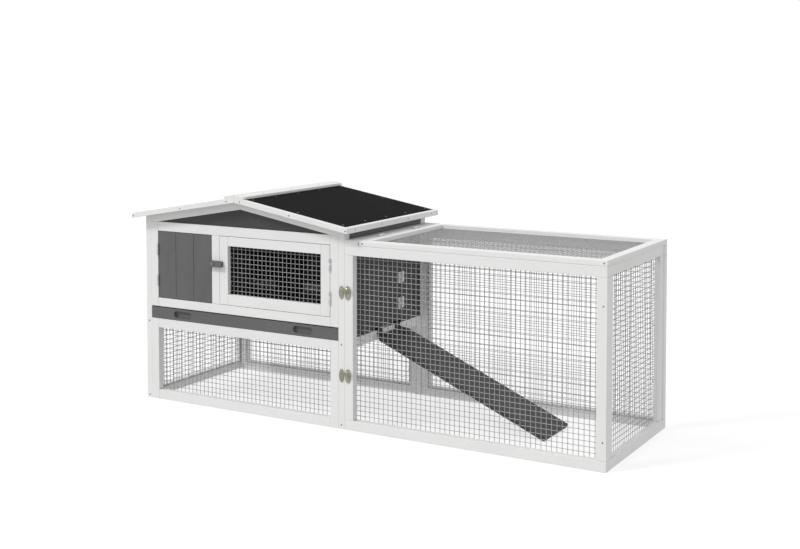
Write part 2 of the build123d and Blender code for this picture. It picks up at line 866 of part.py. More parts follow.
# Turn button on its screw, in front of the middle post
button_x = mid_post_x[0] + button_post_inset
button_face = front - button_gap
button_z = (door_z[0] + door_z[1]) / 2 + button_rise

with BuildPart() as turn_button:
    button_plane = Plane((button_x, button_face, button_z), x_dir=(1, 0, 0), z_dir=(0, -1, 0))
    with BuildSketch(button_plane) as button_outline:
        with Locations((button_length / 2 - button_pivot, 0)):
            RectangleRounded(button_length, button_width, button_corner)
        Circle(button_screw_radius + spindle_play, mode=Mode.SUBTRACT)
    extrude(button_outline.sketch, amount=button_thickness)
turn_button.part.label = "turn_button"
export_step(turn_button.part, "parts/turn_button.step")

with BuildPart() as turn_button_screw:
    screw_plane = Plane((button_x, front, button_z), x_dir=(1, 0, 0), z_dir=(0, -1, 0))
    shank_length = button_gap + button_thickness + clearance
    with BuildSketch(screw_plane) as shank:
        Circle(button_screw_radius)
    extrude(shank.sketch, amount=shank_length)
    with BuildSketch(screw_plane.offset(shank_length)) as head:
        Circle(button_head_radius)
    extrude(head.sketch, amount=button_head_height)
turn_button_screw.part.label = "turn_button_screw"
export_step(turn_button_screw.part, "parts/turn_button_screw.step")

# Twist latches: keeper on the house, base, spindle wing and draw bar on the run
latch_heights = (run_height - latch_below_top, latch_above_floor)
keeper_x = house_right - latch_inset - keeper_width / 2
base_x = house_right + latch_inset + base_width / 2
bar_height = latch_plate + boss_height + clearance
lip_right = keeper_x + draw_nose
wing_foot = bar_height + draw_bar_thickness + clearance


def latch_plane(x, z, height):
    """Plane parallel to the front, a height in front of it, facing out."""
    return Plane((x, front - height, z), x_dir=(1, 0, 0), z_dir=(0, -1, 0))


with BuildPart() as latch_keepers:
    for z in latch_heights:
        with BuildSketch(latch_plane(keeper_x, z, 0)) as plate:
            Ellipse(keeper_width / 2, keeper_length / 2)
        extrude(plate.sketch, amount=latch_plate)
        with BuildSketch(latch_plane(lip_right - draw_nose / 2, z + spindle_rise, latch_plate)) as lip:
            Rectangle(draw_nose, draw_bar_width)
        extrude(lip.sketch, amount=boss_height)
latch_keepers.part.label = "latch_keepers"
export_step(latch_keepers.part, "parts/latch_keepers.step")

with BuildPart() as latch_bases:
    for z in latch_heights:
        with BuildSketch(latch_plane(base_x, z, 0)) as plate:
            Ellipse(base_width / 2, base_length / 2)
        extrude(plate.sketch, amount=latch_plate)
        with BuildSketch(latch_plane(base_x, z + spindle_rise, latch_plate)) as boss:
            Circle(boss_radius)
        extrude(boss.sketch, amount=boss_height)
latch_bases.part.label = "latch_bases"
export_step(latch_bases.part, "parts/latch_bases.step")

nose_right = lip_right - draw_nose - clearance
for name, z in zip(("upper", "lower"), latch_heights):
    with BuildPart() as draw_bar:
        bar_left = nose_right - draw_nose
        bar_right = base_x + boss_radius
        bar_slot = 2 * (spindle_radius + spindle_play) + draw_travel
        spindle_z = z + spindle_rise
        with BuildSketch(latch_plane(0, spindle_z, bar_height)) as strap:
            with Locations(((bar_left + bar_right + draw_travel) / 2, 0)):
                Rectangle(bar_right + draw_travel - bar_left, draw_bar_width)
            with Locations((base_x + draw_travel / 2, 0)):
                SlotOverall(bar_slot, 2 * (spindle_radius + spindle_play), mode=Mode.SUBTRACT)
        extrude(strap.sketch, amount=draw_bar_thickness)
        with BuildSketch(latch_plane(bar_left + draw_nose / 2, spindle_z, bar_height)) as nose:
            Rectangle(draw_nose, draw_bar_width)
        extrude(nose.sketch, amount=clearance - boss_height)
    draw_bar.part.label = f"{name}_draw_bar"
    export_step(draw_bar.part, f"parts/{name}_draw_bar.step")

    with BuildPart() as latch_wing:
        with BuildSketch(latch_plane(base_x, spindle_z, bar_height)) as spindle:
            Circle(spindle_radius)
        extrude(spindle.sketch, amount=wing_foot - bar_height)
        with BuildSketch(latch_plane(base_x, spindle_z, wing_foot)) as hub:
            Circle(wing_hub_radius)
        extrude(hub.sketch, amount=wing_hub_height)
        with BuildSketch(latch_plane(base_x, spindle_z, wing_foot + wing_hub_height)) as blade:
            Rectangle(wing_length, wing_thickness)
        extrude(blade.sketch, amount=wing_height)
    latch_wing.part.label = f"{name}_latch_wing"
    export_step(latch_wing.part, f"parts/{name}_latch_wing.step")
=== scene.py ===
"""Two-tier rabbit hutch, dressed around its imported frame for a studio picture."""

import json
import logging
import math
import random
from dataclasses import dataclass, field
from enum import Enum
from functools import lru_cache
from typing import Any, Mapping, Optional, Sequence, Union

import bpy
from mathutils import Matrix, Vector


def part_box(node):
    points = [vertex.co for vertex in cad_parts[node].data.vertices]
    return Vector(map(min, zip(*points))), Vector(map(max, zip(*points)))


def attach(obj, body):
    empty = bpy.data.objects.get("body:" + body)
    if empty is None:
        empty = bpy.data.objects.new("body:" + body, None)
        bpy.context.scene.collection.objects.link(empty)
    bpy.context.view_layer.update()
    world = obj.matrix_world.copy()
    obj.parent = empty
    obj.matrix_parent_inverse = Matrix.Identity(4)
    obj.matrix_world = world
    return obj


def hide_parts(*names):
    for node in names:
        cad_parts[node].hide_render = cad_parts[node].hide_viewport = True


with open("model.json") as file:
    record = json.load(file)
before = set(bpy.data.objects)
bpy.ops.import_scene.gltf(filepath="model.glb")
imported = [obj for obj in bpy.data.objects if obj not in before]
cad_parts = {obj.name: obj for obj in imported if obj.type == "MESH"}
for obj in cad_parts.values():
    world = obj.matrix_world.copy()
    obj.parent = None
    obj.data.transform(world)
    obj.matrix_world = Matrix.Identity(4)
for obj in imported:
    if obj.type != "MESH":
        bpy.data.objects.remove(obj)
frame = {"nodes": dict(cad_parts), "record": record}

log = logging.getLogger("hutch")
Colour = tuple[float, float, float]
Range = tuple[float, float]
MIX_FACTOR, MIX_LOW, MIX_HIGH, MIX_RESULT = 0, 6, 7, 2
BEYOND = 1.0
FINE = {"detail": 3.0, "roughness": 0.6}


class Axis(Enum):
    """The three directions of the frame."""

    X = 0
    Y = 1
    Z = 2


class Slot(Enum):
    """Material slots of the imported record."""

    NET = "net_wire"
    ZINC = "zinc_hardware"
    LATCH = "latch_metal"
    HOOK = "hook_metal"


class Signal:
    """One socket of a shader graph, with Python's operators as Math nodes."""

    def __init__(self, graph: "Graph", socket: bpy.types.NodeSocket) -> None:
        """Wraps an output socket of a graph."""
        self.graph = graph
        self.socket = socket

    def maths(self, operation: str, *values: "Scalar") -> "Signal":
        """Adds one Math node with the given inputs."""
        return self.graph.node("ShaderNodeMath", {"operation": operation}, dict(enumerate(values)))

    def __add__(self, other: "Scalar") -> "Signal":
        """Sum."""
        return self.maths("ADD", self, other)

    def __radd__(self, other: "Scalar") -> "Signal":
        """Sum, reflected."""
        return self.maths("ADD", other, self)

    def __sub__(self, other: "Scalar") -> "Signal":
        """Difference."""
        return self.maths("SUBTRACT", self, other)

    def __rsub__(self, other: "Scalar") -> "Signal":
        """Difference, reflected."""
        return self.maths("SUBTRACT", other, self)

    def __mul__(self, other: "Scalar") -> "Signal":
        """Product."""
        return self.maths("MULTIPLY", self, other)

    def __truediv__(self, other: "Scalar") -> "Signal":
        """Quotient."""
        return self.maths("DIVIDE", self, other)

    def __gt__(self, other: "Scalar") -> "Signal":
        """1 where this is the greater one."""
        return self.maths("GREATER_THAN", self, other)

    def __lt__(self, other: "Scalar") -> "Signal":
        """1 where this is the lesser one."""
        return self.maths("LESS_THAN", self, other)

    def __abs__(self) -> "Signal":
        """Size without its sign."""
        return self.maths("ABSOLUTE", self)

    def floor(self) -> "Signal":
        """Whole part."""
        return self.maths("FLOOR", self)

    def ramp(self, low: float, high: float) -> "Signal":
        """Smooth step.

        Args:
            low: The value that gives 0.
            high: The value that gives 1.

        Returns:
            A value from 0 to 1.
        """
        settings = {"interpolation_type": "SMOOTHSTEP"}
        inputs = {"Value": self, "From Min": low, "From Max": high}
        return self.graph.node("ShaderNodeMapRange", settings, inputs)


Scalar = Union[Signal, float, int]


class Graph:
    """The node graph of one material."""

    def __init__(self, name: str) -> None:
        """Makes an empty material.

        Args:
            name: The material's name.
        """
        self.material = bpy.data.materials.new(name)
        self.material.use_nodes = True
        self.tree = self.material.node_tree
        self.tree.nodes.clear()

    @classmethod
    def on(cls, tree: bpy.types.NodeTree) -> "Graph":
        """A graph on a tree that is there already, such as the world's.

        Args:
            tree: The tree, which is cleared.

        Returns:
            The graph.
        """
        graph = cls.__new__(cls)
        graph.tree = tree
        tree.nodes.clear()
        return graph

    def node(
        self,
        kind: str,
        settings: Optional[Mapping[str, Any]] = None,
        inputs: Optional[Mapping[Union[str, int], Any]] = None,
        output: Union[str, int, None] = 0,
    ) -> Optional[Signal]:
        """Adds one node.

        Args:
            kind: The node's type.
            settings: Its properties, set first.
            inputs: Values or signals for its sockets, by name or number.
            output: The socket that is returned, or None for a node that ends the graph.

        Returns:
            The chosen output.
        """
        made = self.tree.nodes.new(kind)
        for key, value in (settings or {}).items():
            setattr(made, key, value)
        for key, value in (inputs or {}).items():
            if isinstance(value, Signal):
                self.tree.links.new(value.socket, made.inputs[key])
            else:
                made.inputs[key].default_value = value
        return None if output is None else Signal(self, made.outputs[output])

    def place(self) -> tuple[Signal, Signal, Signal]:
        """The three coordinates of a point of the piece, in metres."""
        point = self.node("ShaderNodeTexCoord", output="Object")
        return tuple(self.node("ShaderNodeSeparateXYZ", None, {0: point}, axis) for axis in range(3))

    def point(self, x: Scalar, y: Scalar, z: Scalar) -> Signal:
        """Joins three values to a vector."""
        return self.node("ShaderNodeCombineXYZ", None, {0: x, 1: y, 2: z})

    def noise(self, point: Signal, scale: float, detail: float = 2.0, roughness: float = 0.5) -> Signal:
        """Smooth noise about 0.5, with a scale in waves to a unit of the point."""
        inputs = {"Vector": point, "Scale": scale, "Detail": detail, "Roughness": roughness}
        return self.node("ShaderNodeTexNoise", None, inputs, "Fac")

    def blend(self, factor: Scalar, low: Any, high: Any) -> Signal:
        """Colour between two colours.

        Args:
            factor: 0 for the first colour, 1 for the second.
            low: The first colour, a signal or three numbers.
            high: The second colour.

        Returns:
            The mixed colour.
        """
        ends = [value if isinstance(value, Signal) else (*value, 1.0) for value in (low, high)]
        settings = {"data_type": "RGBA", "blend_type": "MIX"}
        inputs = {MIX_FACTOR: factor, MIX_LOW: ends[0], MIX_HIGH: ends[1]}
        return self.node("ShaderNodeMix", settings, inputs, MIX_RESULT)

    def cells(self, point: Signal, size: float, output: str) -> Signal:
        """Distance or Color of uneven cells, their size in the point's units."""
        inputs = {"Vector": point, "Scale": 1.0 / size}
        return self.node("ShaderNodeTexVoronoi", {"feature": "F1"}, inputs, output)

    def relief(self, height: Signal, depth: float, under: Optional[Signal] = None) -> Signal:
        """Normal of a surface raised by a height.

        Args:
            height: The height, from 0 to 1.
            depth: What a height of 1 measures, in metres.
            under: The normal beneath it.

        Returns:
            The new normal.
        """
        inputs: dict[Union[str, int], Any] = {"Height": height, "Distance": depth, "Strength": 1.0}
        if under is not None:
            inputs["Normal"] = under
        return self.node("ShaderNodeBump", None, inputs)

    def surface(self, inputs: Mapping[str, Any]) -> bpy.types.Material:
        """Closes the graph with a Principled shader.

        Args:
            inputs: Values or signals for the shader's sockets.

        Returns:
            The finished material.
        """
        shader = self.node("ShaderNodeBsdfPrincipled", None, inputs)
        self.node("ShaderNodeOutputMaterial", None, {"Surface": shader}, None)
        return self.material


Span = tuple[Axis, float, float]


@dataclass(frozen=True)
class Zone:
    """Slice of a node that holds battens crossing its main run.

    Attributes:
        axis: The axis that the slice is cut across.
        low: Its start, in metres.
        high: Its end, in metres.
        within: A second axis, with the start and end that the slice keeps to.
    """

    axis: Axis
    low: float
    high: float
    within: Optional[Span] = None

    def mask(self, place: Sequence[Signal]) -> Signal:
        """Where the zone lies.

        Args:
            place: The three coordinates.

        Returns:
            1 inside the zone and 0 outside.
        """
        inside = (place[self.axis.value] > self.low) * (place[self.axis.value] < self.high)
        if self.within:
            axis, low, high = self.within
            inside = inside * (place[axis.value] > low) * (place[axis.value] < high)
        return inside


@dataclass(frozen=True)
class Grain:
    """Which way the fibres of a node run.

    Attributes:
        along: The axis of most boards.
        cross: The axis of the boards inside the zones.
        zones: Where those lie.
        boards: Axis, start and width of a row of boards.
        slope: Fall of a roof board for each metre from the ridge.
        ridge: X of the ridge.
        zone_number: What the first zone adds to a board's number.
        zone_spread: What it adds for each metre that the zone lies off the middle.
    """

    along: Axis
    cross: Axis = Axis.X
    zones: tuple[Zone, ...] = ()
    boards: Optional[Span] = None
    slope: float = 0.0
    ridge: float = 0.0
    zone_number: float = 3.0
    zone_spread: float = 10.0

    def space(self, graph: Graph) -> tuple[tuple[Signal, Signal, Signal], Scalar]:
        """Coordinates that follow the fibres.

        Args:
            graph: The graph to add to.

        Returns:
            Metres along, across and through the board, and a number for each board.
        """
        place = list(graph.place())
        local = tuple(place)
        board: Scalar = 0.0
        if self.slope:
            place[2] = place[2] + abs(place[0] - self.ridge) * self.slope
            board = place[0] > self.ridge
        if self.boards:
            axis, start, width = self.boards
            board = ((place[axis.value] - start) / width).floor()
        mask: Scalar = 0.0
        for zone in self.zones:
            inside = zone.mask(local)
            board = board + inside * (self.zone_number + self.zone_spread * abs(zone.low))
            mask = inside + mask
        main = self._ordered(place, self.along)
        if not self.zones:
            return main, board
        side = self._ordered(place, self.cross)
        turned = tuple(m + (s - m) * mask for m, s in zip(main, side))
        return turned, board

    @staticmethod
    def _ordered(place: Sequence[Signal], axis: Axis) -> tuple[Signal, Signal, Signal]:
        """Sorts the coordinates of a point.

        Args:
            place: Its coordinates.
            axis: The axis that comes first.

        Returns:
            The coordinates, with the chosen axis first.
        """
        first = axis.value
        rest = [index for index in range(3) if index != first]
        return place[first], place[rest[0]], place[rest[1]]


@dataclass(frozen=True)
class Stretch:
    """How often a pattern comes back in a metre of board.

    Attributes:
        along: Waves in a metre along the fibres.
        across: Waves in a metre across them.
        through: Waves in a metre of thickness.
        slides: Whether the pattern also moves across from board to board.
    """

    along: float
    across: float
    through: float
    slides: bool = True


@dataclass(frozen=True)
class PaintedTimber:
    """Satin paint on planed softwood, with the grain standing through it.

    Attributes:
        name: The finish.
        colour: The paint.
        thin: The paint where it lies thin on the hard grain.
        dust: The tone of its hollows.
        roughness: Of the bare paint.
        grain: Depth of the fibres, in metres.
        ring: Depth of the year rings, in metres.
        fibres: Spacing of the fibres.
        brush: Spacing of the brush marks.
        sway: Spacing of the bends in the rings.
        rings: Spacing of the year rings.
        clouds: Spacing of the uneven patches.
        knots: Spacing of the knots.
        sway_width: How far the bends move the rings.
        fibre_range: The fibres that thin the paint.
        cloud_range: The patches that hold dust.
        knot_range: From the eye of a knot to its rim.
        board_shift: How far the pattern moves on from board to board.
    """

    name: str
    colour: Colour
    thin: Colour
    dust: Colour
    roughness: float = 0.44
    grain: float = 0.00009
    ring: float = 0.00022
    fibres: Stretch = Stretch(55.0, 1400.0, 1400.0, False)
    brush: Stretch = Stretch(16.0, 620.0, 620.0, False)
    sway: Stretch = Stretch(5.0, 9.0, 9.0)
    rings: Stretch = Stretch(1.1, 34.0, 20.0)
    clouds: Stretch = Stretch(7.0, 24.0, 24.0)
    knots: Stretch = Stretch(3.1, 11.0, 2.0)
    sway_width: float = 5.0
    fibre_range: Range = (0.38, 0.72)
    cloud_range: Range = (0.35, 0.8)
    knot_range: Range = (0.05, 0.13)
    board_shift: float = 1.37

    @lru_cache(maxsize=None)
    def material(self, grain: Grain, painted_eave_shade: Optional[tuple[Zone, Colour]] = None) -> bpy.types.Material:
        """The finish for boards whose fibres run as given.

        Args:
            grain: The run of the fibres.
            painted_eave_shade: A zone painted darker as painted shade, where the eave shades the board, and
                the colour of that painted shade.

        Returns:
            The material.
        """
        graph = Graph(self.name)
        place, board = grain.space(graph)
        shift = board * self.board_shift
        sway = graph.noise(self._spread(graph, place, shift, self.sway), 1.0)
        fibres = graph.noise(self._spread(graph, place, shift, self.fibres), 1.0, **FINE)
        brush = graph.noise(self._spread(graph, place, shift, self.brush), 1.0)
        cloud = graph.noise(self._spread(graph, place, shift, self.clouds), 1.0)
        knot = graph.cells(self._spread(graph, place, shift, self.knots), 1.0, "Distance")
        rings = graph.node(
            "ShaderNodeTexWave",
            {"wave_type": "BANDS", "bands_direction": "Y", "wave_profile": "SIN"},
            {
                "Vector": self._spread(graph, place, shift, self.rings, sway * self.sway_width),
                "Scale": 1.0,
                "Distortion": 2.4,
                "Detail": 2.0,
                "Detail Scale": 1.2,
            },
            "Fac",
        )
        eye = 1.0 - knot.ramp(*self.knot_range)
        tone = graph.blend(fibres.ramp(*self.fibre_range) * 0.55 + rings * 0.25, self.colour, self.thin)
        tone = graph.blend(cloud.ramp(*self.cloud_range) * 0.45 + eye * 0.5, tone, self.dust)
        # Painted shade: the zone under the eave takes a darker colour that stands in for the shade of the
        # eave.
        if painted_eave_shade:
            zone, paint = painted_eave_shade
            tone = graph.blend(zone.mask(graph.place()), tone, paint)
        relief = graph.relief(rings * 0.7 + eye * 0.5, self.ring)
        relief = graph.relief(fibres * 0.6 + brush * 0.4, self.grain, relief)
        return graph.surface(
            {
                "Base Color": tone,
                "Roughness": self.roughness + (brush - 0.5) * 0.22 + (cloud - 0.5) * 0.12,
                "Normal": relief,
                "IOR": 1.46,
            }
        )

    @staticmethod
    def _spread(
        graph: Graph,
        place: Sequence[Signal],
        shift: Scalar,
        stretch: Stretch,
        bend: Optional[Signal] = None,
    ) -> Signal:
        """Scales a place on a board to one pattern.

        Args:
            graph: The graph to add to.
            place: Metres along, across and through the board.
            shift: How far the pattern is moved on for this board.
            stretch: Its spacing.
            bend: How far it sways across.

        Returns:
            The pattern's coordinates.
        """
        along = place[0] * stretch.along + shift
        across = place[1] * stretch.across
        if bend is not None:
            across = across + bend
        if stretch.slides:
            across = across + shift
        return graph.point(along, across, place[2] * stretch.through)


@dataclass(frozen=True)
class MineralFelt:
    """Roofing felt with a surface of black mineral grit.

    Attributes:
        name: The finish.
        colour: The bitumen.
        fleck: The palest grains.
        grit: Size of a grain, in metres.
        depth: How far the grains stand up, in metres.
        swell: How far the sheet lifts between its nails, in metres.
        sweep_waves: Patches of pale grains in a metre, along X and Y.
        swell_waves: Lifts in a metre, along X and Y.
        fleck_range: The grains that are pale.
        sweep_range: The patches that have more of them.
    """

    name: str = "mineral_felt"
    colour: Colour = (0.0020, 0.0023, 0.0022)
    fleck: Colour = (0.017, 0.019, 0.018)
    grit: float = 0.0009
    depth: float = 0.0006
    swell: float = 0.004
    sweep_waves: Range = (5.0, 14.0)
    swell_waves: Range = (9.0, 5.0)
    fleck_range: Range = (0.80, 1.0)
    sweep_range: Range = (0.42, 0.8)

    @lru_cache(maxsize=None)
    def material(self) -> bpy.types.Material:
        """The finish.

        Returns:
            The material.
        """
        graph = Graph(self.name)
        x, y, z = graph.place()
        point = graph.point(x, y, z)
        grains = graph.cells(point, self.grit, "Distance")
        tint = graph.cells(point, self.grit, "Color")
        red = graph.node("ShaderNodeSeparateColor", None, {0: tint}, 0)
        sweep = graph.noise(graph.point(x * self.sweep_waves[0], y * self.sweep_waves[1], z), 1.0, **FINE)
        swell = graph.noise(graph.point(x * self.swell_waves[0], y * self.swell_waves[1], z), 1.0)
        mixed = red.ramp(*self.fleck_range) * 0.75 + sweep.ramp(*self.sweep_range) * 0.10
        normal = graph.relief(swell, self.swell)
        normal = graph.relief(1.0 - grains, self.depth, normal)
        return graph.surface(
            {
                "Base Color": graph.blend(mixed, self.colour, self.fleck),
                "Roughness": 0.82 + red * 0.14,
                "Normal": normal,
                "Specular IOR Level": 0.12,
            }
        )


@dataclass(frozen=True)
class Metal:
    """Plated or painted steel with a faint spangle and fine scratches.

    Attributes:
        name: The finish.
        bright: The plate.
        dull: The plate where it has clouded.
        metallic: 1 for bare plate, less for paint.
        roughness: The mean roughness.
        spangle: Size of the crystals, in metres.
        dents: Depth of the unevenness, in metres.
        scratches: Scratches in a metre along X and Y, and along Z.
        bloom: Clouded patches to a crystal.
        bloom_range: The patches that have clouded.
    """

    name: str
    bright: Colour
    dull: Colour
    metallic: float = 1.0
    roughness: float = 0.38
    spangle: float = 0.004
    dents: float = 0.00005
    scratches: Range = (900.0, 9000.0)
    bloom: float = 0.35
    bloom_range: Range = (0.35, 0.7)

    @lru_cache(maxsize=None)
    def material(self) -> bpy.types.Material:
        """The finish.

        Returns:
            The material.
        """
        graph = Graph(self.name)
        x, y, z = graph.place()
        point = graph.point(x, y, z)
        crystals = graph.cells(point, self.spangle, "Color")
        flake = graph.node("ShaderNodeSeparateColor", None, {0: crystals}, 1)
        bloom = graph.noise(point, self.bloom / self.spangle, **FINE)
        wide, fine = self.scratches
        scratch = graph.noise(graph.point(x * wide, y * wide, z * fine), 1.0)
        normal = graph.relief(bloom * 0.6 + scratch * 0.4, self.dents)
        clouded = bloom.ramp(*self.bloom_range) * 0.7 + flake * 0.3
        return graph.surface(
            {
                "Base Color": graph.blend(clouded, self.bright, self.dull),
                "Metallic": self.metallic,
                "Roughness": self.roughness + (flake - 0.5) * 0.12 + (bloom - 0.5) * 0.25,
                "Normal": normal,
            }
        )


WHITE = PaintedTimber("white_paint", (0.80, 0.80, 0.795), (0.77, 0.77, 0.76), (0.72, 0.72, 0.705))
SLATE = PaintedTimber("slate_paint", (0.116, 0.117, 0.118), (0.135, 0.136, 0.138), (0.088, 0.089, 0.090), 0.5)
# Painted shade: the slate paint darkened for the boards that stand in shade (the wall, door and partition of
# the run, the ramp and the gables), which really carry the same slate paint.
SLATE_IN_SHADE = PaintedTimber(
    "slate_in_painted_shade", (0.046, 0.0465, 0.047), (0.060, 0.061, 0.062), (0.034, 0.0345, 0.035), 0.55
)
FELT = MineralFelt()
WIRE = Metal("galvanised_wire", (0.42, 0.422, 0.425), (0.31, 0.312, 0.315), 0.2, 0.5, 0.003)
ZINC = Metal("zinc_plate", (0.80, 0.805, 0.81), (0.60, 0.61, 0.62), 0.8, 0.36, 0.005)
SCREW = Metal("screw_zinc", (0.38, 0.385, 0.39), (0.22, 0.225, 0.23), 1.0, 0.40, 0.002)
LATCH = Metal("yellow_plate", (0.52, 0.505, 0.40), (0.32, 0.31, 0.235), 0.9, 0.36, 0.006)
PALE = Metal("pale_steel", (0.76, 0.76, 0.755), (0.70, 0.70, 0.695), 0.0, 0.45, 0.005)
BLACK = Metal("black_steel", (0.018, 0.018, 0.019), (0.03, 0.03, 0.031), 0.2, 0.42, 0.003)
SHEET = Metal("tray_zinc", (0.52, 0.53, 0.54), (0.38, 0.39, 0.40), 1.0, 0.42, 0.012)


def round_the(sides: int, first: float = 0.0) -> list[Range]:
    """Points round a circle of radius 1, from an angle in radians on."""
    turns = [first + 2 * math.pi * k / sides for k in range(sides)]
    return [(math.cos(turn), math.sin(turn)) for turn in turns]


@dataclass
class Form:
    """One piece as it is being shaped, in metres.

    Attributes:
        points: Its vertices.
        faces: Its faces, as numbers of vertices.
    """

    points: list[Vector] = field(default_factory=list)
    faces: list[tuple[int, ...]] = field(default_factory=list)

    def loft(self, rings: Sequence[Sequence[Vector]], caps: bool = True) -> None:
        """Skins a row of closed rings.

        Args:
            rings: Rings of equally many points.
            caps: Whether the first and last rings are filled.
        """
        start = len(self.points)
        count = len(rings[0])
        for ring in rings:
            self.points.extend(Vector(point) for point in ring)
        for row in range(len(rings) - 1):
            base = start + row * count
            for i in range(count):
                j = (i + 1) % count
                self.faces.append((base + i, base + j, base + count + j, base + count + i))
        if caps:
            last = start + (len(rings) - 1) * count
            self.faces.append(tuple(reversed(range(start, start + count))))
            self.faces.append(tuple(range(last, last + count)))

    def tube(self, path: Sequence[Vector], radius: float, sides: int) -> None:
        """Round wire along a path.

        Args:
            path: Its centre line.
            radius: Its radius.
            sides: Sides of its section.
        """
        rings = []
        normal: Optional[Vector] = None
        for i, point in enumerate(path):
            ahead = path[min(i + 1, len(path) - 1)] - path[max(i - 1, 0)]
            ahead.normalize()
            if normal is None:
                normal = ahead.orthogonal().normalized()
            normal = (normal - ahead * normal.dot(ahead)).normalized()
            side = ahead.cross(normal)
            rings.append([point + normal * (radius * c) + side * (radius * s) for c, s in round_the(sides)])
        self.loft(rings)

    def turned(self, seat: Matrix, profile: Sequence[tuple[float, float]], sides: int) -> None:
        """Turned shape about the seat's Z.

        Args:
            seat: Where it stands.
            profile: Radii and heights from the foot to the crown.
            sides: Sides of its section.
        """
        rings = []
        for radius, height in profile:
            rings.append([seat @ Vector((radius * c, radius * s, height)) for c, s in round_the(sides)])
        self.loft(rings)

    def slab(self, seat: Matrix, outline: Sequence[tuple[float, float]], height: float, edge: float) -> None:
        """Flat plate with a softened upper edge.

        Args:
            seat: Where it lies; it rises along the seat's Z.
            outline: Its outline, anticlockwise.
            height: Its thickness.
            edge: How far the upper edge is drawn in.
        """
        centre = Vector((sum(p[0] for p in outline), sum(p[1] for p in outline))) / len(outline)
        rings = []
        worn = 0.3 * edge
        for level, inset in ((0.0, 0.0), (height - edge, 0.0), (height - worn, worn), (height, edge)):
            ring = []
            for x, y in outline:
                reach = Vector((x, y)) - centre
                moved = centre + reach * (1.0 - inset / max(reach.length, 1e-6))
                ring.append(seat @ Vector((moved.x, moved.y, level)))
            rings.append(ring)
        self.loft(rings)

    def cross_screw(self, seat: Matrix, radius: float) -> None:
        """Countersunk screw head with a cross recess, set in its seat.

        Args:
            seat: The surface; the head looks along the seat's Z.
            radius: Radius of the head.
        """
        arm, half = 0.62 * radius, 0.17 * radius
        quarter = ((arm, -half), (arm, half), (half, half))
        corners = []
        for x, y in ((1, 0), (0, 1), (-1, 0), (0, -1)):
            corners += [(x * a - y * b, y * a + x * b) for a, b in quarter]
        plus = []
        for i, a in enumerate(corners):
            b = corners[(i + 1) % len(corners)]
            plus += [a, ((a[0] + b[0]) / 2, (a[1] + b[1]) / 2)]
        rim = round_the(len(plus), math.atan2(plus[0][1], plus[0][0]))
        rings = []
        for share, level in ((1.0, -0.10), (1.0, 0.015), (0.93, 0.045)):
            reach = radius * share
            rings.append([seat @ Vector((reach * c, reach * s, radius * level)) for c, s in rim])
        for share, level in ((1.0, 0.05), (0.8, 0.008)):
            rings.append([seat @ Vector((share * x, share * y, radius * level)) for x, y in plus])
        self.loft(rings, caps=False)
        last = len(self.points)
        self.faces.append(tuple(range(last - len(plus), last)))

    def made(self, name: str, smooth: float = 40.0) -> bpy.types.Object:
        """The finished mesh as an object.

        Args:
            name: The piece's name.
            smooth: Edges flatter than this are shaded smooth, in degrees.

        Returns:
            The object.
        """
        mesh = bpy.data.meshes.new(name)
        mesh.from_pydata([tuple(point) for point in self.points], [], self.faces)
        mesh.validate()
        mesh.update()
        mesh.polygons.foreach_set("use_smooth", [True] * len(mesh.polygons))
        mesh.set_sharp_from_angle(angle=math.radians(smooth))
        made = bpy.data.objects.new(name, mesh)
        bpy.context.scene.collection.objects.link(made)
        return made


def seat_at(origin: Sequence[float], facing: Sequence[float], turn: float = 0.0) -> Matrix:
    """A seat on a surface.

    Args:
        origin: Its place.
        facing: The way that its Z looks.
        turn: Turn about that way, in radians.

    Returns:
        The seat's matrix.
    """
    z = Vector(facing).normalized()
    up = Vector((0, 0, 1)) if abs(z.z) < 0.9 else Vector((0, 1, 0))
    x = up.cross(z).normalized()
    y = z.cross(x)
    turned = Matrix((x, y, z)).transposed().to_4x4()
    return Matrix.Translation(Vector(origin)) @ turned @ Matrix.Rotation(turn, 4, "Z")


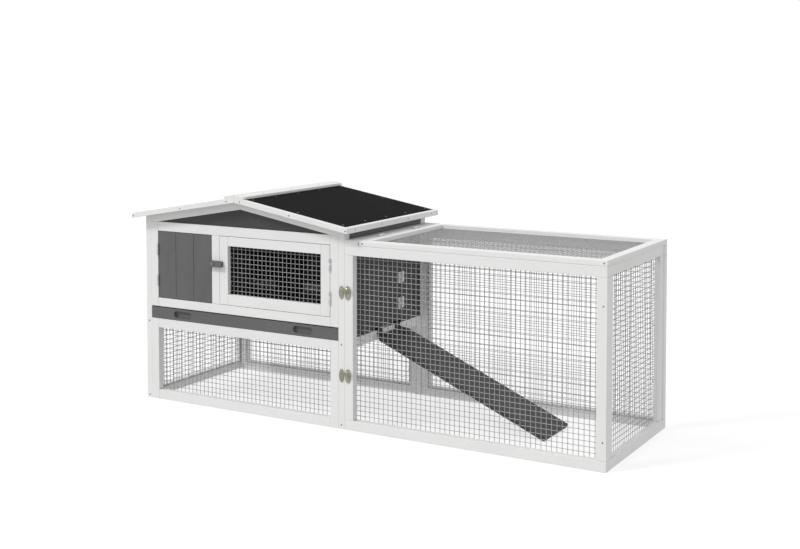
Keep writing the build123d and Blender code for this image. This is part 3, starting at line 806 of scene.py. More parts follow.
@dataclass
class Workshop:
    """Finds nodes, dresses them and hangs new pieces on their bodies.

    Attributes:
        seed: The seed of chance.
        weld_reach: Points of a node closer than this are joined, in metres.
        worn_angle: Edges sharper than this are worn, in degrees.
        worn_steps: Facets of a worn edge.
        screw_turn: The most that a screw's cross is turned, in radians.
    """

    seed: int = 11
    weld_reach: float = 0.00001
    worn_angle: float = 30.0
    worn_steps: int = 2
    screw_turn: float = 1.5

    def __post_init__(self) -> None:
        """Starts the one source of chance and looks up the body of each node."""
        self.chance = random.Random(self.seed)
        self.body_of = {
            node: body for body, nodes in frame["record"]["behaviour"]["bodies"].items() for node in nodes
        }

    def paint(self, node: str, material: bpy.types.Material, bevel: float = 0.0006) -> None:
        """Gives a node its finish and softens its edges.

        Args:
            node: The node.
            material: Its finish.
            bevel: Width of the worn edge, in metres.
        """
        piece = frame["nodes"][node]
        piece.data.materials.clear()
        piece.data.materials.append(material)
        if bevel:
            weld = piece.modifiers.new("weld", "WELD")
            weld.merge_threshold = self.weld_reach
            worn = piece.modifiers.new("edge", "BEVEL")
            worn.width = bevel
            worn.segments = self.worn_steps
            worn.limit_method = "ANGLE"
            worn.angle_limit = math.radians(self.worn_angle)
            worn.use_clamp_overlap = True
            worn.harden_normals = True
        log.info("painted %s", node)

    def drive(self, form: Form, spot: Sequence[float], facing: Sequence[float], radius: float) -> None:
        """Drives one cross-head screw into a form, its cross turned by chance."""
        form.cross_screw(seat_at(spot, facing, self.chance.uniform(0, self.screw_turn)), radius)

    def add(
        self,
        piece: bpy.types.Object,
        body: str,
        slot: Slot,
        material: bpy.types.Material,
        replaces: Sequence[str] = (),
    ) -> None:
        """Dresses a new piece and hangs it on its body.

        Args:
            piece: The piece.
            body: The body that carries it.
            slot: Its slot in the record; not used.
            material: Its finish.
            replaces: The nodes that it stands for.
        """
        piece.data.materials.append(material)
        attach(piece, body)
        if replaces:
            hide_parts(*replaces)
        log.info("made %s", piece.name)

    def fix(self, form: Form, name: str, body: str) -> None:
        """Adds a form of zinc-plated screws, nails or staples to a body."""
        self.add(form.made(name), body, Slot.ZINC, SCREW.material())


@dataclass
class Timberwork:
    """Every painted board of the hutch.

    Attributes:
        batten: Width of the battens.
        stile: Width of the stiles of the front and back frames.
        plank: Width of a plank, before it is fitted to its row.
        door_stile: Width of the stiles of the mesh door.
        roof_slope: Fall of the roof for each metre from the ridge.
        edge: Width of a worn edge.
    """

    shop: Workshop
    batten: float = 0.028
    stile: float = 0.0265
    plank: float = 0.069
    door_stile: float = 0.030
    roof_slope: float = 0.172
    edge: float = 0.0011

    def dress(self) -> None:
        """Paints all boards, each with its fibres along its length."""
        self._side_frames()
        self._fronts()
        self._run()
        self._planks()
        self._roof_boards()
        self._plain()

    def _framed(self, node: str, across: Axis, run: Axis, width: float, top: Optional[float] = None) -> None:
        """Paints a frame of stiles with rails between them.

        Args:
            node: The frame.
            across: The axis from stile to stile, along which the rails run.
            run: The axis of the stiles.
            width: Width of a stile.
            top: Width that the end zones take, where the rails run through.
        """
        if top is None:
            zones = (Zone(*self._between(node, across, width)),)
        else:
            zones = self._ends(node, run, top, top)
        self.shop.paint(node, WHITE.material(Grain(run, across, zones)), self.edge)

    @staticmethod
    def _between(node: str, across: Axis, width: float) -> Span:
        """The part of a frame between two stiles of a width."""
        low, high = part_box(node)
        return across, low[across.value] + width, high[across.value] - width

    @staticmethod
    def _ends(
        node: str, run: Axis, first: float, last: float, within: Optional[Span] = None
    ) -> tuple[Zone, Zone]:
        """The zones at both ends of a frame.

        Args:
            node: The frame.
            run: The axis from one end to the other.
            first: Width of the zone at the low end.
            last: Width of the zone at the high end.
            within: What both zones keep to.

        Returns:
            The two zones.
        """
        low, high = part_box(node)
        start, end = low[run.value], high[run.value]
        return Zone(run, start - BEYOND, start + first, within), Zone(run, end - last, end + BEYOND, within)

    def _side_frames(self) -> None:
        """Paints the two sides of the house and the back frame."""
        self._framed("left_side_frame", Axis.Y, Axis.Z, self.batten)
        inner = self._between("right_side_frame", Axis.Y, self.batten)
        grain = Grain(Axis.Z, Axis.Y, (Zone(*inner),))
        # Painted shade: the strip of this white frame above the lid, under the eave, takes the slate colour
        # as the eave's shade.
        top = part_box("right_side_frame")[1].z + BEYOND
        eave_shade_zone = Zone(Axis.Z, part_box("lid_frame")[1].z, top, inner)
        self.shop.paint("right_side_frame", WHITE.material(grain, (eave_shade_zone, SLATE.colour)), self.edge)
        self._framed("back_frame", Axis.X, Axis.Z, self.stile)

    def _fronts(self) -> None:
        """Paints the front frames and the mesh door."""
        self._framed("front_lower_frame", Axis.X, Axis.Z, self.stile)
        inner = self._between("front_upper_frame", Axis.X, self.stile)
        zones = self._ends("front_upper_frame", Axis.Z, self.stile, self.batten, inner)
        self.shop.paint("front_upper_frame", WHITE.material(Grain(Axis.Z, Axis.X, zones)), self.edge)
        self._framed("mesh_door_frame", Axis.X, Axis.Z, self.door_stile)

    def _run(self) -> None:
        """Paints the run and its roof."""
        for node in ("run_front_frame", "run_back_frame"):
            self._framed(node, Axis.X, Axis.Z, self.batten, self.batten)
        self._framed("run_end_frame", Axis.Y, Axis.Z, self.batten, self.batten)
        zones = self._ends("lid_frame", Axis.Y, self.batten, self.batten)
        self.shop.paint("lid_frame", WHITE.material(Grain(Axis.Y, Axis.X, zones)), self.edge)
        self.shop.paint("fixed_lid_board", WHITE.material(Grain(Axis.Y)), self.edge)

    def _row(self, node: str, across: Axis, finish: PaintedTimber) -> None:
        """Paints a row of upright planks.

        Args:
            node: The row.
            across: The axis from plank to plank.
            finish: Its paint.
        """
        low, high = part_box(node)
        span = high[across.value] - low[across.value]
        width = span / max(1, round(span / self.plank))
        boards = (across, low[across.value], width)
        self.shop.paint(node, finish.material(Grain(Axis.Z, boards=boards)), 0.0)

    def _planks(self) -> None:
        """Paints the plank walls and the plank doors, the ramp and the gables; those that stand in shade take
        the slate paint darkened as painted shade.
        """
        for node, across, finish in (
            ("plank_door", Axis.X, SLATE),
            ("back_wall", Axis.X, SLATE),
            ("left_wall", Axis.Y, SLATE),
            # Painted shade: the right wall, its door and the partition take the darkened slate paint.
            ("right_wall", Axis.Y, SLATE_IN_SHADE),
            ("access_door", Axis.Y, SLATE_IN_SHADE),
            ("partition", Axis.Y, SLATE_IN_SHADE),
        ):
            self._row(node, across, finish)
        # Painted shade: the ramp and the gables take the darkened slate paint.
        for node in ("ramp", "front_gable", "back_gable"):
            self.shop.paint(node, SLATE_IN_SHADE.material(Grain(Axis.X)), self.edge)

    def _roof_boards(self) -> None:
        """Paints the boards that follow the slopes of the roof."""
        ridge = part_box("ridge_cap_left")[1].x
        along = WHITE.material(Grain(Axis.X, slope=self.roof_slope, ridge=ridge))
        for node in ("front_bargeboards", "back_bargeboards", "front_rafters", "back_rafters"):
            self.shop.paint(node, along, self.edge)
        across = WHITE.material(Grain(Axis.Y))
        for side in ("left", "right"):
            self.shop.paint(f"eave_board_{side}", across, self.edge)
            self.shop.paint(f"ridge_cap_{side}", across, self.edge)
            self.shop.paint(f"roof_deck_{side}", across, self.edge)

    def _plain(self) -> None:
        """Paints the boards that stand alone."""
        for node in ("plank_door_ledges", "tray_front", "turn_button"):
            self.shop.paint(node, SLATE.material(Grain(Axis.X)), self.edge)
        self.shop.paint("tray_runners", WHITE.material(Grain(Axis.Y)), self.edge)


@dataclass
class WeldedNet:
    """One sheet of welded wire, with the staples that hold it.

    Attributes:
        node: The plain sheet that it stands for.
        inward: The way that its inner face looks: +1 or -1 along its thin axis.
        pitch: Spacing of the upright and the level wires.
        wire: Diameter of a wire.
        sides: Sides of its section.
        lap: How far the net lies on the frame.
        knot: Length of a straight piece of wire.
        true: How far a wire strays, in its place, along its run and towards the other layer.
        layer: How far the second layer lies from the first, in wire diameters.
        staple_pitch: Spacing of the staples.
        staple_crown: Width of a staple.
        staple_wire: Radius of its wire.
        staple_slants: How much of a staple lies along the edge, at least and at most.
        staple_rise: Height of a staple, in wire diameters.
        smooth: Edges of a wire flatter than this are shaded smooth, in degrees.
        stapled: Whether its staples can be seen.
    """

    shop: Workshop
    node: str
    inward: int
    pitch: tuple[float, float] = (0.01484, 0.01445)
    wire: float = 0.0018
    sides: int = 6
    lap: float = 0.0025
    knot: float = 0.07
    true: tuple[float, float, float] = (0.0003, 0.00025, 0.00022)
    layer: float = 0.78
    staple_pitch: float = 0.085
    staple_crown: float = 0.0095
    staple_wire: float = 0.00055
    staple_slants: Range = (0.55, 1.0)
    staple_rise: float = 2.35
    smooth: float = 75.0
    stapled: bool = True

    def __post_init__(self) -> None:
        """Finds the sheet's box, the way that it lies and the face of its frame."""
        self.low, self.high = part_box(self.node)
        spans = self.high - self.low
        self.thin = min(range(3), key=lambda axis: spans[axis])
        self.flat = [axis for axis in range(3) if axis != self.thin]
        self.face = self.low[self.thin] if self.inward > 0 else self.high[self.thin]

    def build(self) -> None:
        """Weaves the sheet and drives its staples."""
        form = Form()
        for turn in (0, 1):
            along, across = self.flat[1 - turn], self.flat[turn]
            room = self.high[across] - self.low[across] - self.wire
            count = max(1, round(room / self.pitch[turn]))
            step = room / count
            layer = self.face + self.inward * self.wire * (0.5 + self.layer * turn)
            for index in range(count + 1):
                where = self.low[across] + self.wire / 2 + step * index
                form.tube(self._line(along, across, where, layer), self.wire / 2, self.sides)
        net = form.made(f"{self.node}_wires", self.smooth)
        body = self.shop.body_of[self.node]
        self.shop.add(net, body, Slot.NET, WIRE.material(), [self.node])
        if self.stapled:
            self.shop.fix(self._staples(), f"{self.node}_staples", body)

    def _line(self, along: int, across: int, where: float, layer: float) -> list[Vector]:
        """Draws one wire, a little out of true as drawn wire is.

        Args:
            along: The axis that it runs along.
            across: The axis across it.
            where: Its place across.
            layer: Its place along the thin axis.

        Returns:
            Its centre line.
        """
        length = self.high[along] - self.low[along]
        count = max(3, round(length / self.knot))
        chance = self.shop.chance
        lean_most, stray, lift = self.true
        lean = chance.uniform(-lean_most, lean_most)
        path = []
        for i in range(count + 1):
            point = Vector((0.0, 0.0, 0.0))
            point[along] = self.low[along] + length * i / count
            ends = 0.0 if i in (0, count) else 1.0
            point[across] = where + ends * chance.uniform(-stray, stray) + lean * (i / count - 0.5)
            point[self.thin] = layer + ends * chance.uniform(0.0, lift) * self.inward
            path.append(point)
        return path

    def _staples(self) -> Form:
        """Bends the staples that reach over the outer wires into the frame.

        Returns:
            All of them.
        """
        form = Form()
        for turn in (0, 1):
            along, across = self.flat[turn], self.flat[1 - turn]
            length = self.high[along] - self.low[along]
            count = max(2, round(length / self.staple_pitch))
            for edge in (self.low[across] + self.lap, self.high[across] - self.lap):
                for index in range(count):
                    centre = Vector((0.0, 0.0, 0.0))
                    centre[along] = self.low[along] + length * (index + 0.5) / count
                    centre[across] = edge
                    centre[self.thin] = self.face
                    self._staple(form, centre, along, across)
        return form

    def _staple(self, form: Form, centre: Vector, along: int, across: int) -> None:
        """Adds one staple that lies roughly across the wires of its edge.

        Args:
            form: The form that it joins.
            centre: Its middle, on the frame's face.
            along: The axis of the edge.
            across: The axis across it.
        """
        slant = self.shop.chance.uniform(*self.staple_slants)
        way = Vector((0.0, 0.0, 0.0))
        way[along] = slant
        way[across] = math.sqrt(1.0 - slant * slant) * self.shop.chance.choice((-1, 1)) * 0.45
        way *= self.staple_crown / 2 / way.length
        rise = Vector((0.0, 0.0, 0.0))
        rise[self.thin] = self.inward * self.staple_rise * self.wire
        foot = rise * -0.5
        shoulder = rise * 0.8
        ends = [centre - way, centre + way]
        crown = [ends[0].lerp(ends[1], share) + rise for share in (0.12, 0.88)]
        path = [ends[0] + foot, ends[0] + shoulder, *crown, ends[1] + shoulder, ends[1] + foot]
        form.tube(path, self.staple_wire, self.sides)


@dataclass
class Roofing:
    """Felt, clout nails and the screws of the roof boards.

    Attributes:
        nail_radius: Radius of a nail's head.
        nail_height: Height of a nail's head.
        nail_edge: How far the outer nails are from the felt's edges.
        nail_cap: How far the upper nails are from the ridge cap.
        nail_rows: Nails along each edge of the felt.
        nail_sides: Sides of a nail's head.
        stray: How far a nail strays from its place.
        felt: Thickness of the felt.
        screw_radius: Radius of a screw's head.
        barge_middle: From the top of a bargeboard to its middle.
        barge_shares: Places of its screws, from the left end at -1 to the right end at 1.
        eave_shares: Places of the eave board's screws, from 0 to 1.
        cap_shares: Places of the ridge cap's screws, from 0 to 1.
        cap_inset: Place of those screws across the cap, from its outer edge.
    """

    shop: Workshop
    nail_radius: float = 0.0024
    nail_height: float = 0.0005
    nail_edge: float = 0.020
    nail_cap: float = 0.012
    nail_rows: int = 5
    nail_sides: int = 14
    stray: float = 0.002
    felt: float = 0.002
    screw_radius: float = 0.0025
    barge_middle: float = 0.009
    barge_shares: tuple[float, ...] = (-0.985, -0.515, -0.07, 0.055, 0.5, 0.985)
    eave_shares: tuple[float, ...] = (0.06, 0.35, 0.65, 0.94)
    cap_shares: tuple[float, ...] = (0.03, 0.22, 0.5, 0.78, 0.97)
    cap_inset: float = 0.4

    def build(self) -> None:
        """Dresses the felt and drives its nails and the board screws."""
        for side in ("left", "right"):
            self.shop.paint(f"roof_felt_{side}", FELT.material(), 0.0)
            self._nails(side)
        self._screws()

    def _top(self, side: str) -> tuple[Vector, Vector, Vector]:
        """Finds the top face of one felt.

        Args:
            side: left or right.

        Returns:
            A point of its ridge edge, a point of its eave edge and the way that it looks.
        """
        low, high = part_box(f"roof_felt_{side}")
        inner, outer = (high.x, low.x) if side == "left" else (low.x, high.x)
        fall = abs(outer - inner) * self._slope()
        ridge = Vector((inner, 0.0, high.z))
        eave = Vector((outer, 0.0, high.z - fall))
        facing = (eave - ridge).normalized().cross(Vector((0, 1, 0)))
        return ridge, eave, facing if facing.z > 0 else -facing

    def _slope(self) -> float:
        """Fall of the roof for each metre from the ridge."""
        low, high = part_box("roof_felt_right")
        return (high.z - low.z - self.felt) / (high.x - low.x)

    def _nails(self, side: str) -> None:
        """Drives clout nails round the edge of one felt.

        Args:
            side: left or right.
        """
        ridge, eave, facing = self._top(side)
        low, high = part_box(f"roof_felt_{side}")
        cap_low, cap_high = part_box(f"ridge_cap_{side}")
        cap = cap_high.x - cap_low.x
        length = (eave - ridge).length
        rows = (cap + self.nail_cap, (cap + length) / 2, length - self.nail_edge)
        room = high.y - low.y - 2 * self.nail_edge
        last = self.nail_rows - 1
        r, h = self.nail_radius, self.nail_height
        profile = [(r * 0.9, -h), (r, h * 0.2), (r * 0.93, h * 0.7), (r * 0.55, h), (r * 0.05, h * 1.05)]
        form = Form()
        for run in rows:
            for i in range(self.nail_rows):
                if run == rows[1] and i not in (0, last):
                    continue
                _, stray = [self.shop.chance.uniform(-1, 1) * self.stray for _ in range(2)]
                y = low.y + self.nail_edge + room * i / last
                spot = ridge.lerp(eave, run / length) + Vector((0, y + stray, 0))
                form.turned(seat_at(spot, facing), profile, self.nail_sides)
        self.shop.fix(form, f"felt_nails_{side}", "hutch")

    def _screws(self) -> None:
        """Drives the screws of the bargeboards, the eave boards and the ridge caps."""
        form = Form()
        slope = self._slope()
        low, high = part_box("front_bargeboards")
        ridge_x = (low.x + high.x) / 2
        middle = high.z - self.barge_middle
        for y, way in ((low.y, -1), (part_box("back_bargeboards")[1].y, 1)):
            for share in self.barge_shares:
                x = ridge_x + share * (high.x - ridge_x)
                spot = (x, y, middle - slope * abs(x - ridge_x))
                self.shop.drive(form, spot, (0, way, 0), self.screw_radius)
        for side, way in (("left", -1), ("right", 1)):
            low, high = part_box(f"eave_board_{side}")
            x = low.x if way < 0 else high.x
            for share in self.eave_shares:
                spot = (x, low.y + share * (high.y - low.y), (low.z + high.z) / 2)
                self.shop.drive(form, spot, (way, 0, 0), self.screw_radius)
            low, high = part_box(f"ridge_cap_{side}")
            inset = self.cap_inset * (high.x - low.x)
            x = low.x + inset if way < 0 else high.x - inset
            z = high.z - slope * abs(x - ridge_x)
            for share in self.cap_shares:
                spot = (x, low.y + share * (high.y - low.y), z)
                self.shop.drive(form, spot, (way * slope, 0, 1), self.screw_radius)
        self.shop.fix(form, "roof_screws", "hutch")


@dataclass
class Screws:
    """Countersunk screws that hold the panels together.

    Attributes:
        radius: Radius of a screw's head.
        left_heights: Heights of the screws in the left posts.
        right_heights: Heights of those in the right posts of the house.
        end_heights: Heights of those in the end stiles of the run.
        end_inset: How far the last ones are from the end of the run.
        lid_insets: How far the lid's screws are from its two ends.
    """

    shop: Workshop
    radius: float = 0.0026
    left_heights: Range = (0.240, 0.009)
    right_heights: Range = (0.241, 0.012)
    end_heights: Range = (0.422, 0.076)
    end_inset: float = 0.010
    lid_insets: Range = (0.012, 0.009)

    def build(self) -> None:
        """Drives the screws of the panels and of the lid."""
        form = Form()
        rows = (
            (self._middle("left_side_frame"), self.left_heights),
            (self._middle("right_side_frame"), self.right_heights),
            (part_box("run_end_frame")[1].x - self.end_inset, self.end_heights),
        )
        for y, way in ((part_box("run_front_frame")[0].y, -1), (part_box("run_back_frame")[1].y, 1)):
            for x, heights in rows:
                for z in heights:
                    self.shop.drive(form, (x, y, z), (0, way, 0), self.radius)
        self.shop.fix(form, "panel_screws", "hutch")
        lid = Form()
        low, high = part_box("lid_frame")
        for y, way in ((low.y, -1), (high.y, 1)):
            for x in (low.x + self.lid_insets[0], high.x - self.lid_insets[1]):
                self.shop.drive(lid, (x, y, (low.z + high.z) / 2), (0, way, 0), self.radius)
        self.shop.fix(lid, "lid_screws", "run_lid")

    @staticmethod
    def _middle(node: str) -> float:
        """X of the middle of a node."""
        low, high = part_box(node)
        return (low.x + high.x) / 2


@dataclass
class Hardware:
    """Hinges, turn button screw, ramp hooks, tray pan and the small screws in them.

    Attributes:
        hinge_screw: Radius of a hinge screw's head.
        hook_screw: Radius of a hook screw's head.
        button_screw: Radius of the turn button screw's head.
        leaf: Thickness of a hinge leaf.
        leaf_length: Length of a hinge leaf.
        leaf_reach: How far the leaves pass the knuckles of the door's leaves.
        leaf_insets: From the edge of the door's leaves to its screws and to those of the wall.
        leaf_edge: Width of a leaf's worn edge.
        sheet_edge: Width of the worn edges of the tray pan and the button's screw.
        hook_edge: Width of a hook's worn edge.
        leaf_shares: Places of the screws along a leaf.
        ramp_board: Thickness of the ramp's board along X and Z, as its end shows it.
        ramp_corner: From the ramp's end to its upper corner, along X.
        hook_width: Width of a hook.
        hook_plate: Thickness of a hook.
        hook_reach: From the end of the ramp to its screws.
        hook_shares: Places of the screws across a hook.
    """

    shop: Workshop
    hinge_screw: float = 0.0021
    hook_screw: float = 0.0026
    button_screw: float = 0.0040
    leaf: float = 0.0012
    leaf_length: float = 0.033
    leaf_reach: float = 0.011
    leaf_insets: Range = (0.006, 0.0105)
    leaf_edge: float = 0.00025
    sheet_edge: float = 0.0004
    hook_edge: float = 0.0005
    leaf_shares: Range = (0.2, 0.8)
    ramp_board: Range = (0.005, 0.010)
    ramp_corner: float = 0.0055
    hook_width: float = 0.028
    hook_plate: float = 0.0026
    hook_reach: float = 0.020
    hook_shares: Range = (0.27, 0.73)

    def build(self) -> None:
        """Dresses the hardware nodes and drives their screws."""
        for node, finish, edge in (
            ("fixed_hinge_leaves", ZINC, self.leaf_edge),
            ("plank_door_leaves", ZINC, self.leaf_edge),
            ("access_door_leaves", ZINC, self.leaf_edge),
            ("mesh_door_leaves", PALE, self.leaf_edge),
            ("lid_leaves", PALE, self.leaf_edge),
            ("turn_button_screw", SCREW, self.sheet_edge),
            ("ramp_hooks", BLACK, self.hook_edge),
            ("tray_pan", SHEET, self.sheet_edge),
        ):
            self.shop.paint(node, finish.material(), edge)
        self._wall_hinge_screws()
        self._button_screw()
        self._hook_screws()

    def _wall_hinge_screws(self) -> None:
        """Drives the screws of the two hinges that lie open on the wall."""
        low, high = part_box("access_door_leaves")
        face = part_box("right_wall")[1].x + self.leaf
        on_door, on_wall = self.leaf_insets
        bases = (low.z - self.leaf_reach, high.z + self.leaf_reach - self.leaf_length)
        for name, body, y in (
            ("wall_leaf_screws", "hutch", high.y + on_wall),
            ("door_leaf_screws", "wall_door", low.y + on_door),
        ):
            form = Form()
            for base in bases:
                for share in self.leaf_shares:
                    spot = (face, y, base + self.leaf_length * share)
                    self.shop.drive(form, spot, (1, 0, 0), self.hinge_screw)
            self.shop.fix(form, name, body)

    def _button_screw(self) -> None:
        """Cuts the cross into the screw of the turn button."""
        low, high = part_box("turn_button_screw")
        proud, turn = 0.0001, 0.4
        form = Form()
        spot = ((low.x + high.x) / 2, low.y - proud, (low.z + high.z) / 2)
        form.cross_screw(seat_at(spot, (0, -1, 0), turn), self.button_screw)
        self.shop.fix(form, "button_screw_cross", "hutch")

    def _hook_screws(self) -> None:
        """Drives two screws through each hook into the ramp."""
        low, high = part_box("ramp_hooks")
        ramp_low, ramp_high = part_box("ramp")
        end_x, end_z = self.ramp_board
        slope = math.atan2(ramp_high.z - ramp_low.z - end_z, ramp_high.x - ramp_low.x - end_x)
        facing = Vector((math.sin(slope), 0, math.cos(slope)))
        down = Vector((math.cos(slope), 0, -math.sin(slope)))
        top = Vector((ramp_low.x + self.ramp_corner, 0.0, ramp_high.z))
        form = Form()
        for start in (low.y, high.y - self.hook_width):
            for share in self.hook_shares:
                spot = top + down * self.hook_reach + facing * self.hook_plate
                spot.y = start + self.hook_width * share
                self.shop.drive(form, spot, facing, self.hook_screw)
        self.shop.add(form.made("hook_screws"), "ramp", Slot.HOOK, BLACK.material())


@dataclass
class TwistLatch:
    """The wing on its spindle, and the draw bar of one twist latch.

    Attributes:
        name: upper or lower.
        wing_turns: Steps along the curved wing.
        wing_sides: Sides of its section.
        wing_rise: How far the wing stands over its foot.
        spindle: Radius of the spindle.
        collar: Radius of the wing's collar.
        collar_sides: Sides of both.
        bar_edge: Width of the draw bar's worn edge.
        blade_share: Share of the wing's width that the blade takes.
        blade_tall: Least height of the blade, and the most that is added outwards.
        blade_thick: Half its thickness at the ends, and what is added in the middle.
        blade_bend: How far it bends to either side.
        smooth: Edges flatter than this are shaded smooth, in degrees.
    """

    shop: Workshop
    name: str
    wing_turns: int = 14
    wing_sides: int = 10
    wing_rise: float = 0.009
    spindle: float = 0.0025
    collar: float = 0.0051
    collar_sides: int = 24
    bar_edge: float = 0.0004
    blade_share: float = 0.985
    blade_tall: Range = (0.0026, 0.0058)
    blade_thick: Range = (0.00075, 0.0006)
    blade_bend: float = 0.0007
    smooth: float = 50.0

    def build(self) -> None:
        """Turns the spindle and bends the wing."""
        low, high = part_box(f"{self.name}_latch_wing")
        seat = seat_at(((low.x + high.x) / 2, high.y, (low.z + high.z) / 2), (0, -1, 0))
        height = high.y - low.y
        foot = height - self.wing_rise
        form = Form()
        form.turned(
            seat,
            [
                (self.spindle, 0.0),
                (self.spindle, foot - 0.002),
                (self.collar - 0.0001, foot - 0.0018),
                (self.collar, foot - 0.0006),
                (self.collar - 0.0007, foot),
                (0.0012, foot + 0.0002),
            ],
            self.collar_sides,
        )
        form.loft(self._blade(seat, (high.x - low.x) / 2, foot, height))
        wing = form.made(f"{self.name}_wing_blade", self.smooth)
        self.shop.add(wing, f"{self.name}_wing", Slot.LATCH, LATCH.material(), [f"{self.name}_latch_wing"])
        self.shop.paint(f"{self.name}_draw_bar", LATCH.material(), self.bar_edge)

    def _blade(self, seat: Matrix, half: float, foot: float, height: float) -> list[list[Vector]]:
        """Bends the blade, thick and low in the middle.

        Args:
            seat: The seat of the spindle.
            half: Half the wing's width.
            foot: Height at which it starts.
            height: Height that it keeps under.

        Returns:
            Its rings from end to end.
        """
        lowest, taller = self.blade_tall
        thinnest, thicker = self.blade_thick
        rings = []
        for i in range(self.wing_turns + 1):
            share = 2.0 * i / self.wing_turns - 1.0
            swell = math.cos(share * math.pi / 2) ** 0.55 if abs(share) < 1 else 0.0
            x = half * self.blade_share * share
            tall = lowest + taller * (0.35 + 0.65 * abs(share) ** 1.3) * (0.45 + 0.55 * swell)
            thick = thinnest + thicker * swell
            bend = self.blade_bend * math.sin(share * math.pi)
            ring = []
            for c, s in round_the(self.wing_sides):
                z = foot + tall * (0.5 + 0.5 * s)
                ring.append(seat @ Vector((x, bend + thick * c, min(z, height))))
            rings.append(ring)
        return rings


@dataclass
class LatchPlates:
    """Keepers and bases of both latches, pressed with a raised rim and two screws each.

    Attributes:
        facets: Sides of an oval plate.
        screw: Radius of a screw's head.
        drop: From the spindle down to the middle of the plates.
        keeper_length: Length of a keeper.
        base_length: Length of a base.
        keeper_rows: Places of a keeper's screws over its middle.
        base_rows: Places of a base's screws over its middle.
        dish: Height of the screws' seat over the frame.
        press: Draw-in and height of each bend of the pressed rim.
        boss_sides: Sides of the spindle's boss.
        nose: Length of the draw bar's nose.
        lip: Half width and thickness of the lip that the nose hooks behind.
    """

    shop: Workshop
    facets: int = 44
    screw: float = 0.0026
    drop: float = 0.010
    keeper_length: float = 0.038
    base_length: float = 0.040
    keeper_rows: Range = (-0.013, 0.0145)
    base_rows: Range = (-0.0135, -0.004)
    dish: float = 0.0015
    press: tuple[Range, ...] = (
        (0.0, 0.0),
        (0.0, 0.0013),
        (0.0004, 0.0019),
        (0.0011, 0.0020),
        (0.0018, 0.0016),
        (0.0026, 0.0013),
    )
    boss_sides: int = 28
    nose: float = 0.002
    lip: Range = (0.0045, 0.0038)

    def build(self) -> None:
        """Presses the plates and drives their screws."""
        keeper = Form()
        base = Form()
        screws = Form()
        keeper_low, keeper_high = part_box("latch_keepers")
        base_low, base_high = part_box("latch_bases")
        for name in ("upper", "lower"):
            bar_low, bar_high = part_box(f"{name}_draw_bar")
            spindle_z = (bar_low.z + bar_high.z) / 2
            middle = spindle_z - self.drop
            self._oval(keeper, keeper_low, keeper_high, middle, self.keeper_length)
            self._lip(keeper, bar_low, keeper_high, spindle_z)
            self._oval(base, base_low, base_high, middle, self.base_length)
            self._boss(base, base_low, base_high, spindle_z)
            for low, high, rows in (
                (keeper_low, keeper_high, self.keeper_rows),
                (base_low, base_high, self.base_rows),
            ):
                for row in rows:
                    spot = ((low.x + high.x) / 2, high.y - self.dish, middle + row)
                    self.shop.drive(screws, spot, (0, -1, 0), self.screw)
        finish = LATCH.material()
        self.shop.add(keeper.made("keeper_plates"), "hutch", Slot.LATCH, finish, ["latch_keepers"])
        self.shop.add(base.made("base_plates"), "hutch", Slot.LATCH, finish, ["latch_bases"])
        self.shop.add(screws.made("latch_screws"), "hutch", Slot.LATCH, finish)

    def _oval(self, form: Form, low: Vector, high: Vector, middle: float, length: float) -> None:
        """Presses one oval plate with a rolled rim and a shallow dish.

        Args:
            form: The form that it joins.
            low: Low corner of the plates.
            high: High corner of the plates.
            middle: Height of its middle.
            length: Its length.
        """
        seat = seat_at(((low.x + high.x) / 2, high.y, middle), (0, -1, 0))
        wide, tall = (high.x - low.x) / 2, length / 2
        oval = round_the(self.facets)
        rings = []
        for inset, rise in self.press:
            rings.append([seat @ Vector(((wide - inset) * c, (tall - inset) * s, rise)) for c, s in oval])
        form.loft(rings)

    def _boss(self, form: Form, low: Vector, high: Vector, z: float) -> None:
        """Raises the spindle boss of a base.

        Args:
            form: The form that it joins.
            low: Low corner of the bases.
            high: High corner of the bases.
            z: Height of the spindle.
        """
        seat = seat_at(((low.x + high.x) / 2, high.y, z), (0, -1, 0))
        tall = high.y - low.y
        profile = [
            (0.0074, 0.0012),
            (0.0070, 0.0022),
            (0.0066, tall - 0.0006),
            (0.0060, tall),
            (0.0032, tall),
        ]
        form.turned(seat, profile, self.boss_sides)

    def _lip(self, form: Form, bar: Vector, high: Vector, z: float) -> None:
        """Raises the lip that the draw bar's nose hooks behind.

        Args:
            form: The form that it joins.
            bar: Low corner of the draw bar.
            high: High corner of the keepers.
            z: Height of the bar.
        """
        play, sunk, worn = 0.0003, 0.0012, 0.0004
        half, rise = self.lip
        side = self.nose / 2
        seat = seat_at((bar.x + self.nose + play + side, high.y - sunk, z), (0, -1, 0))
        outline = [(-side, -half), (side, -half), (side, half), (-side, half)]
        form.slab(seat, outline, rise, worn)


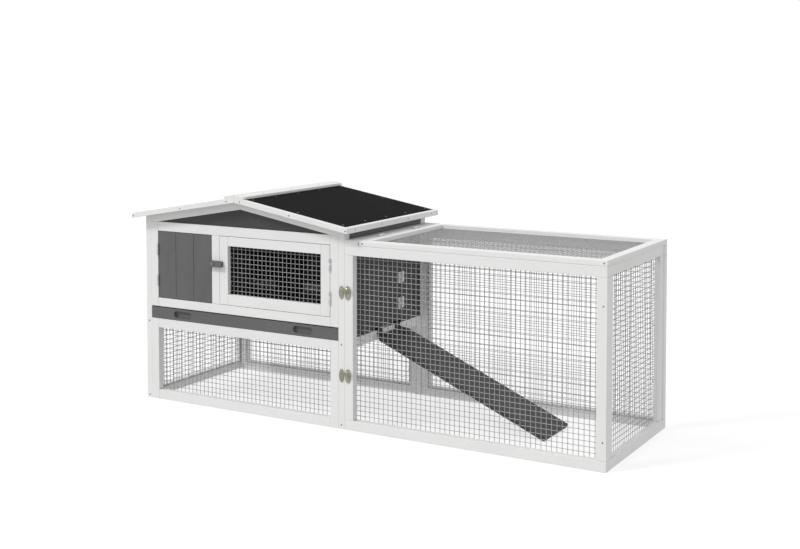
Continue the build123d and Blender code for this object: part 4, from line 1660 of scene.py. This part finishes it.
@dataclass
class Studio:
    """Pale floor, soft light and the camera.

    Attributes:
        floor_reach: Half the width of the floor.
        sun_way: The way that the key lamp shines.
        sun_power: Its strength.
        sun_size: Its breadth, in degrees.
        below: Strength of the room's light from below.
        above: Strength of the room's light from above.
        dusk: Height of the way at which the light has changed from one to the other.
        place: Place of the camera.
        turn: Its turn, in degrees.
        lens: Its focal length, in millimetres.
        sensor: Width of its sensor, in millimetres.
        shift: Its shift to the side and upwards.
        floor: Colour of the floor.
        glow: The floor's own light.
        tooth: Grains of the floor's paper in a metre.
        tooth_depth: Their depth, in metres.
        tooth_tone: Their tone, as a share of the floor's colour.
        white: Colour of the floor's own light and of the ground behind.
        clip: Nearest and farthest that the camera sees.
    """

    floor_reach: float = 14.0
    sun_way: tuple[float, float, float] = (0.45, 0.55, -0.70)
    sun_power: float = 1.55
    sun_size: float = 12.0
    below: float = 0.78
    above: float = 1.02
    dusk: float = 0.35
    place: tuple[float, float, float] = (1.8854, -3.2357, 1.0196)
    turn: tuple[float, float, float] = (87.1755, 0.0235, 30.1053)
    lens: float = 57.3065
    sensor: float = 36.0
    shift: tuple[float, float] = (0.00851, -0.17989)
    floor: Colour = (0.26, 0.26, 0.26)
    glow: float = 0.74
    tooth: float = 900.0
    tooth_depth: float = 0.00005
    tooth_tone: float = 0.985
    white: tuple[float, ...] = (1.0, 1.0, 1.0, 1.0)
    clip: Range = (0.05, 100.0)

    def build(self) -> None:
        """Lays the floor, hangs the lamps and sets the camera."""
        self._floor()
        self._lamps()
        self._camera()
        bpy.context.scene.view_settings.view_transform = "Standard"

    def _floor(self) -> None:
        """Lays a plain pale floor."""
        corners = ((-1, -1), (1, -1), (1, 1), (-1, 1))
        form = Form([Vector((x, y, 0)) * self.floor_reach for x, y in corners], [(0, 1, 2, 3)])
        floor = form.made("studio_floor")
        graph = Graph("studio_paper")
        x, y, z = graph.place()
        tooth = graph.noise(graph.point(x, y, z), self.tooth)
        tone = graph.blend(tooth, self.floor, tuple(self.tooth_tone * value for value in self.floor))
        material = graph.surface(
            {
                "Base Color": tone,
                "Roughness": 0.9,
                "Emission Color": self.white,
                "Emission Strength": self.glow,
                "Normal": graph.relief(tooth, self.tooth_depth),
            }
        )
        floor.data.materials.append(material)
        floor.visible_diffuse = False
        floor.visible_glossy = False

    def _lamps(self) -> None:
        """Hangs one broad key lamp and lights the room evenly."""
        key = bpy.data.lights.new("key", "SUN")
        key.energy = self.sun_power
        key.angle = math.radians(self.sun_size)
        lamp = bpy.data.objects.new("key", key)
        lamp.rotation_mode = "QUATERNION"
        lamp.rotation_quaternion = Vector(self.sun_way).to_track_quat("-Z", "Y")
        bpy.context.scene.collection.objects.link(lamp)
        world = bpy.data.worlds.new("studio")
        bpy.context.scene.world = world
        world.use_nodes = True
        graph = Graph.on(world.node_tree)
        way = graph.node("ShaderNodeTexCoord", output="Generated")
        height = graph.node("ShaderNodeSeparateXYZ", None, {0: way}, 2)
        strength = height.ramp(-self.dusk, self.dusk) * (self.above - self.below) + self.below
        lit = graph.node("ShaderNodeBackground", None, {"Strength": strength})
        seen = graph.node("ShaderNodeBackground", None, {"Color": self.white, "Strength": 1.0})
        straight = graph.node("ShaderNodeLightPath", output="Is Camera Ray")
        mixed = graph.node("ShaderNodeMixShader", None, {0: straight, 1: lit, 2: seen})
        graph.node("ShaderNodeOutputWorld", None, {"Surface": mixed}, None)

    def _camera(self) -> None:
        """Stands the camera where the picture was taken from."""
        data = bpy.data.cameras.new("camera")
        data.lens = self.lens
        data.sensor_width = self.sensor
        data.shift_x, data.shift_y = self.shift
        data.clip_start, data.clip_end = self.clip
        camera = bpy.data.objects.new("camera", data)
        camera.location = self.place
        camera.rotation_euler = [math.radians(angle) for angle in self.turn]
        bpy.context.scene.collection.objects.link(camera)
        bpy.context.scene.camera = camera


def main() -> None:
    """Dresses the frame, adds the fine pieces and sets up the studio."""
    logging.basicConfig(level=logging.INFO, format="%(name)s: %(message)s")
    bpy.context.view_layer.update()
    shop = Workshop()
    Timberwork(shop).dress()
    for node, inward in (
        ("run_front_net", 1),
        ("run_back_net", -1),
        ("run_end_net", -1),
        ("front_lower_net", 1),
        ("back_net", -1),
        ("left_net", 1),
        ("mesh_door_net", 1),
    ):
        WeldedNet(shop, node, inward).build()
    WeldedNet(shop, "lid_net", 1, stapled=False).build()
    Roofing(shop).build()
    Screws(shop).build()
    Hardware(shop).build()
    LatchPlates(shop).build()
    for name in ("upper", "lower"):
        TwistLatch(shop, name).build()
    Studio().build()
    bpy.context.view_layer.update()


if __name__ == "__main__":
    main()
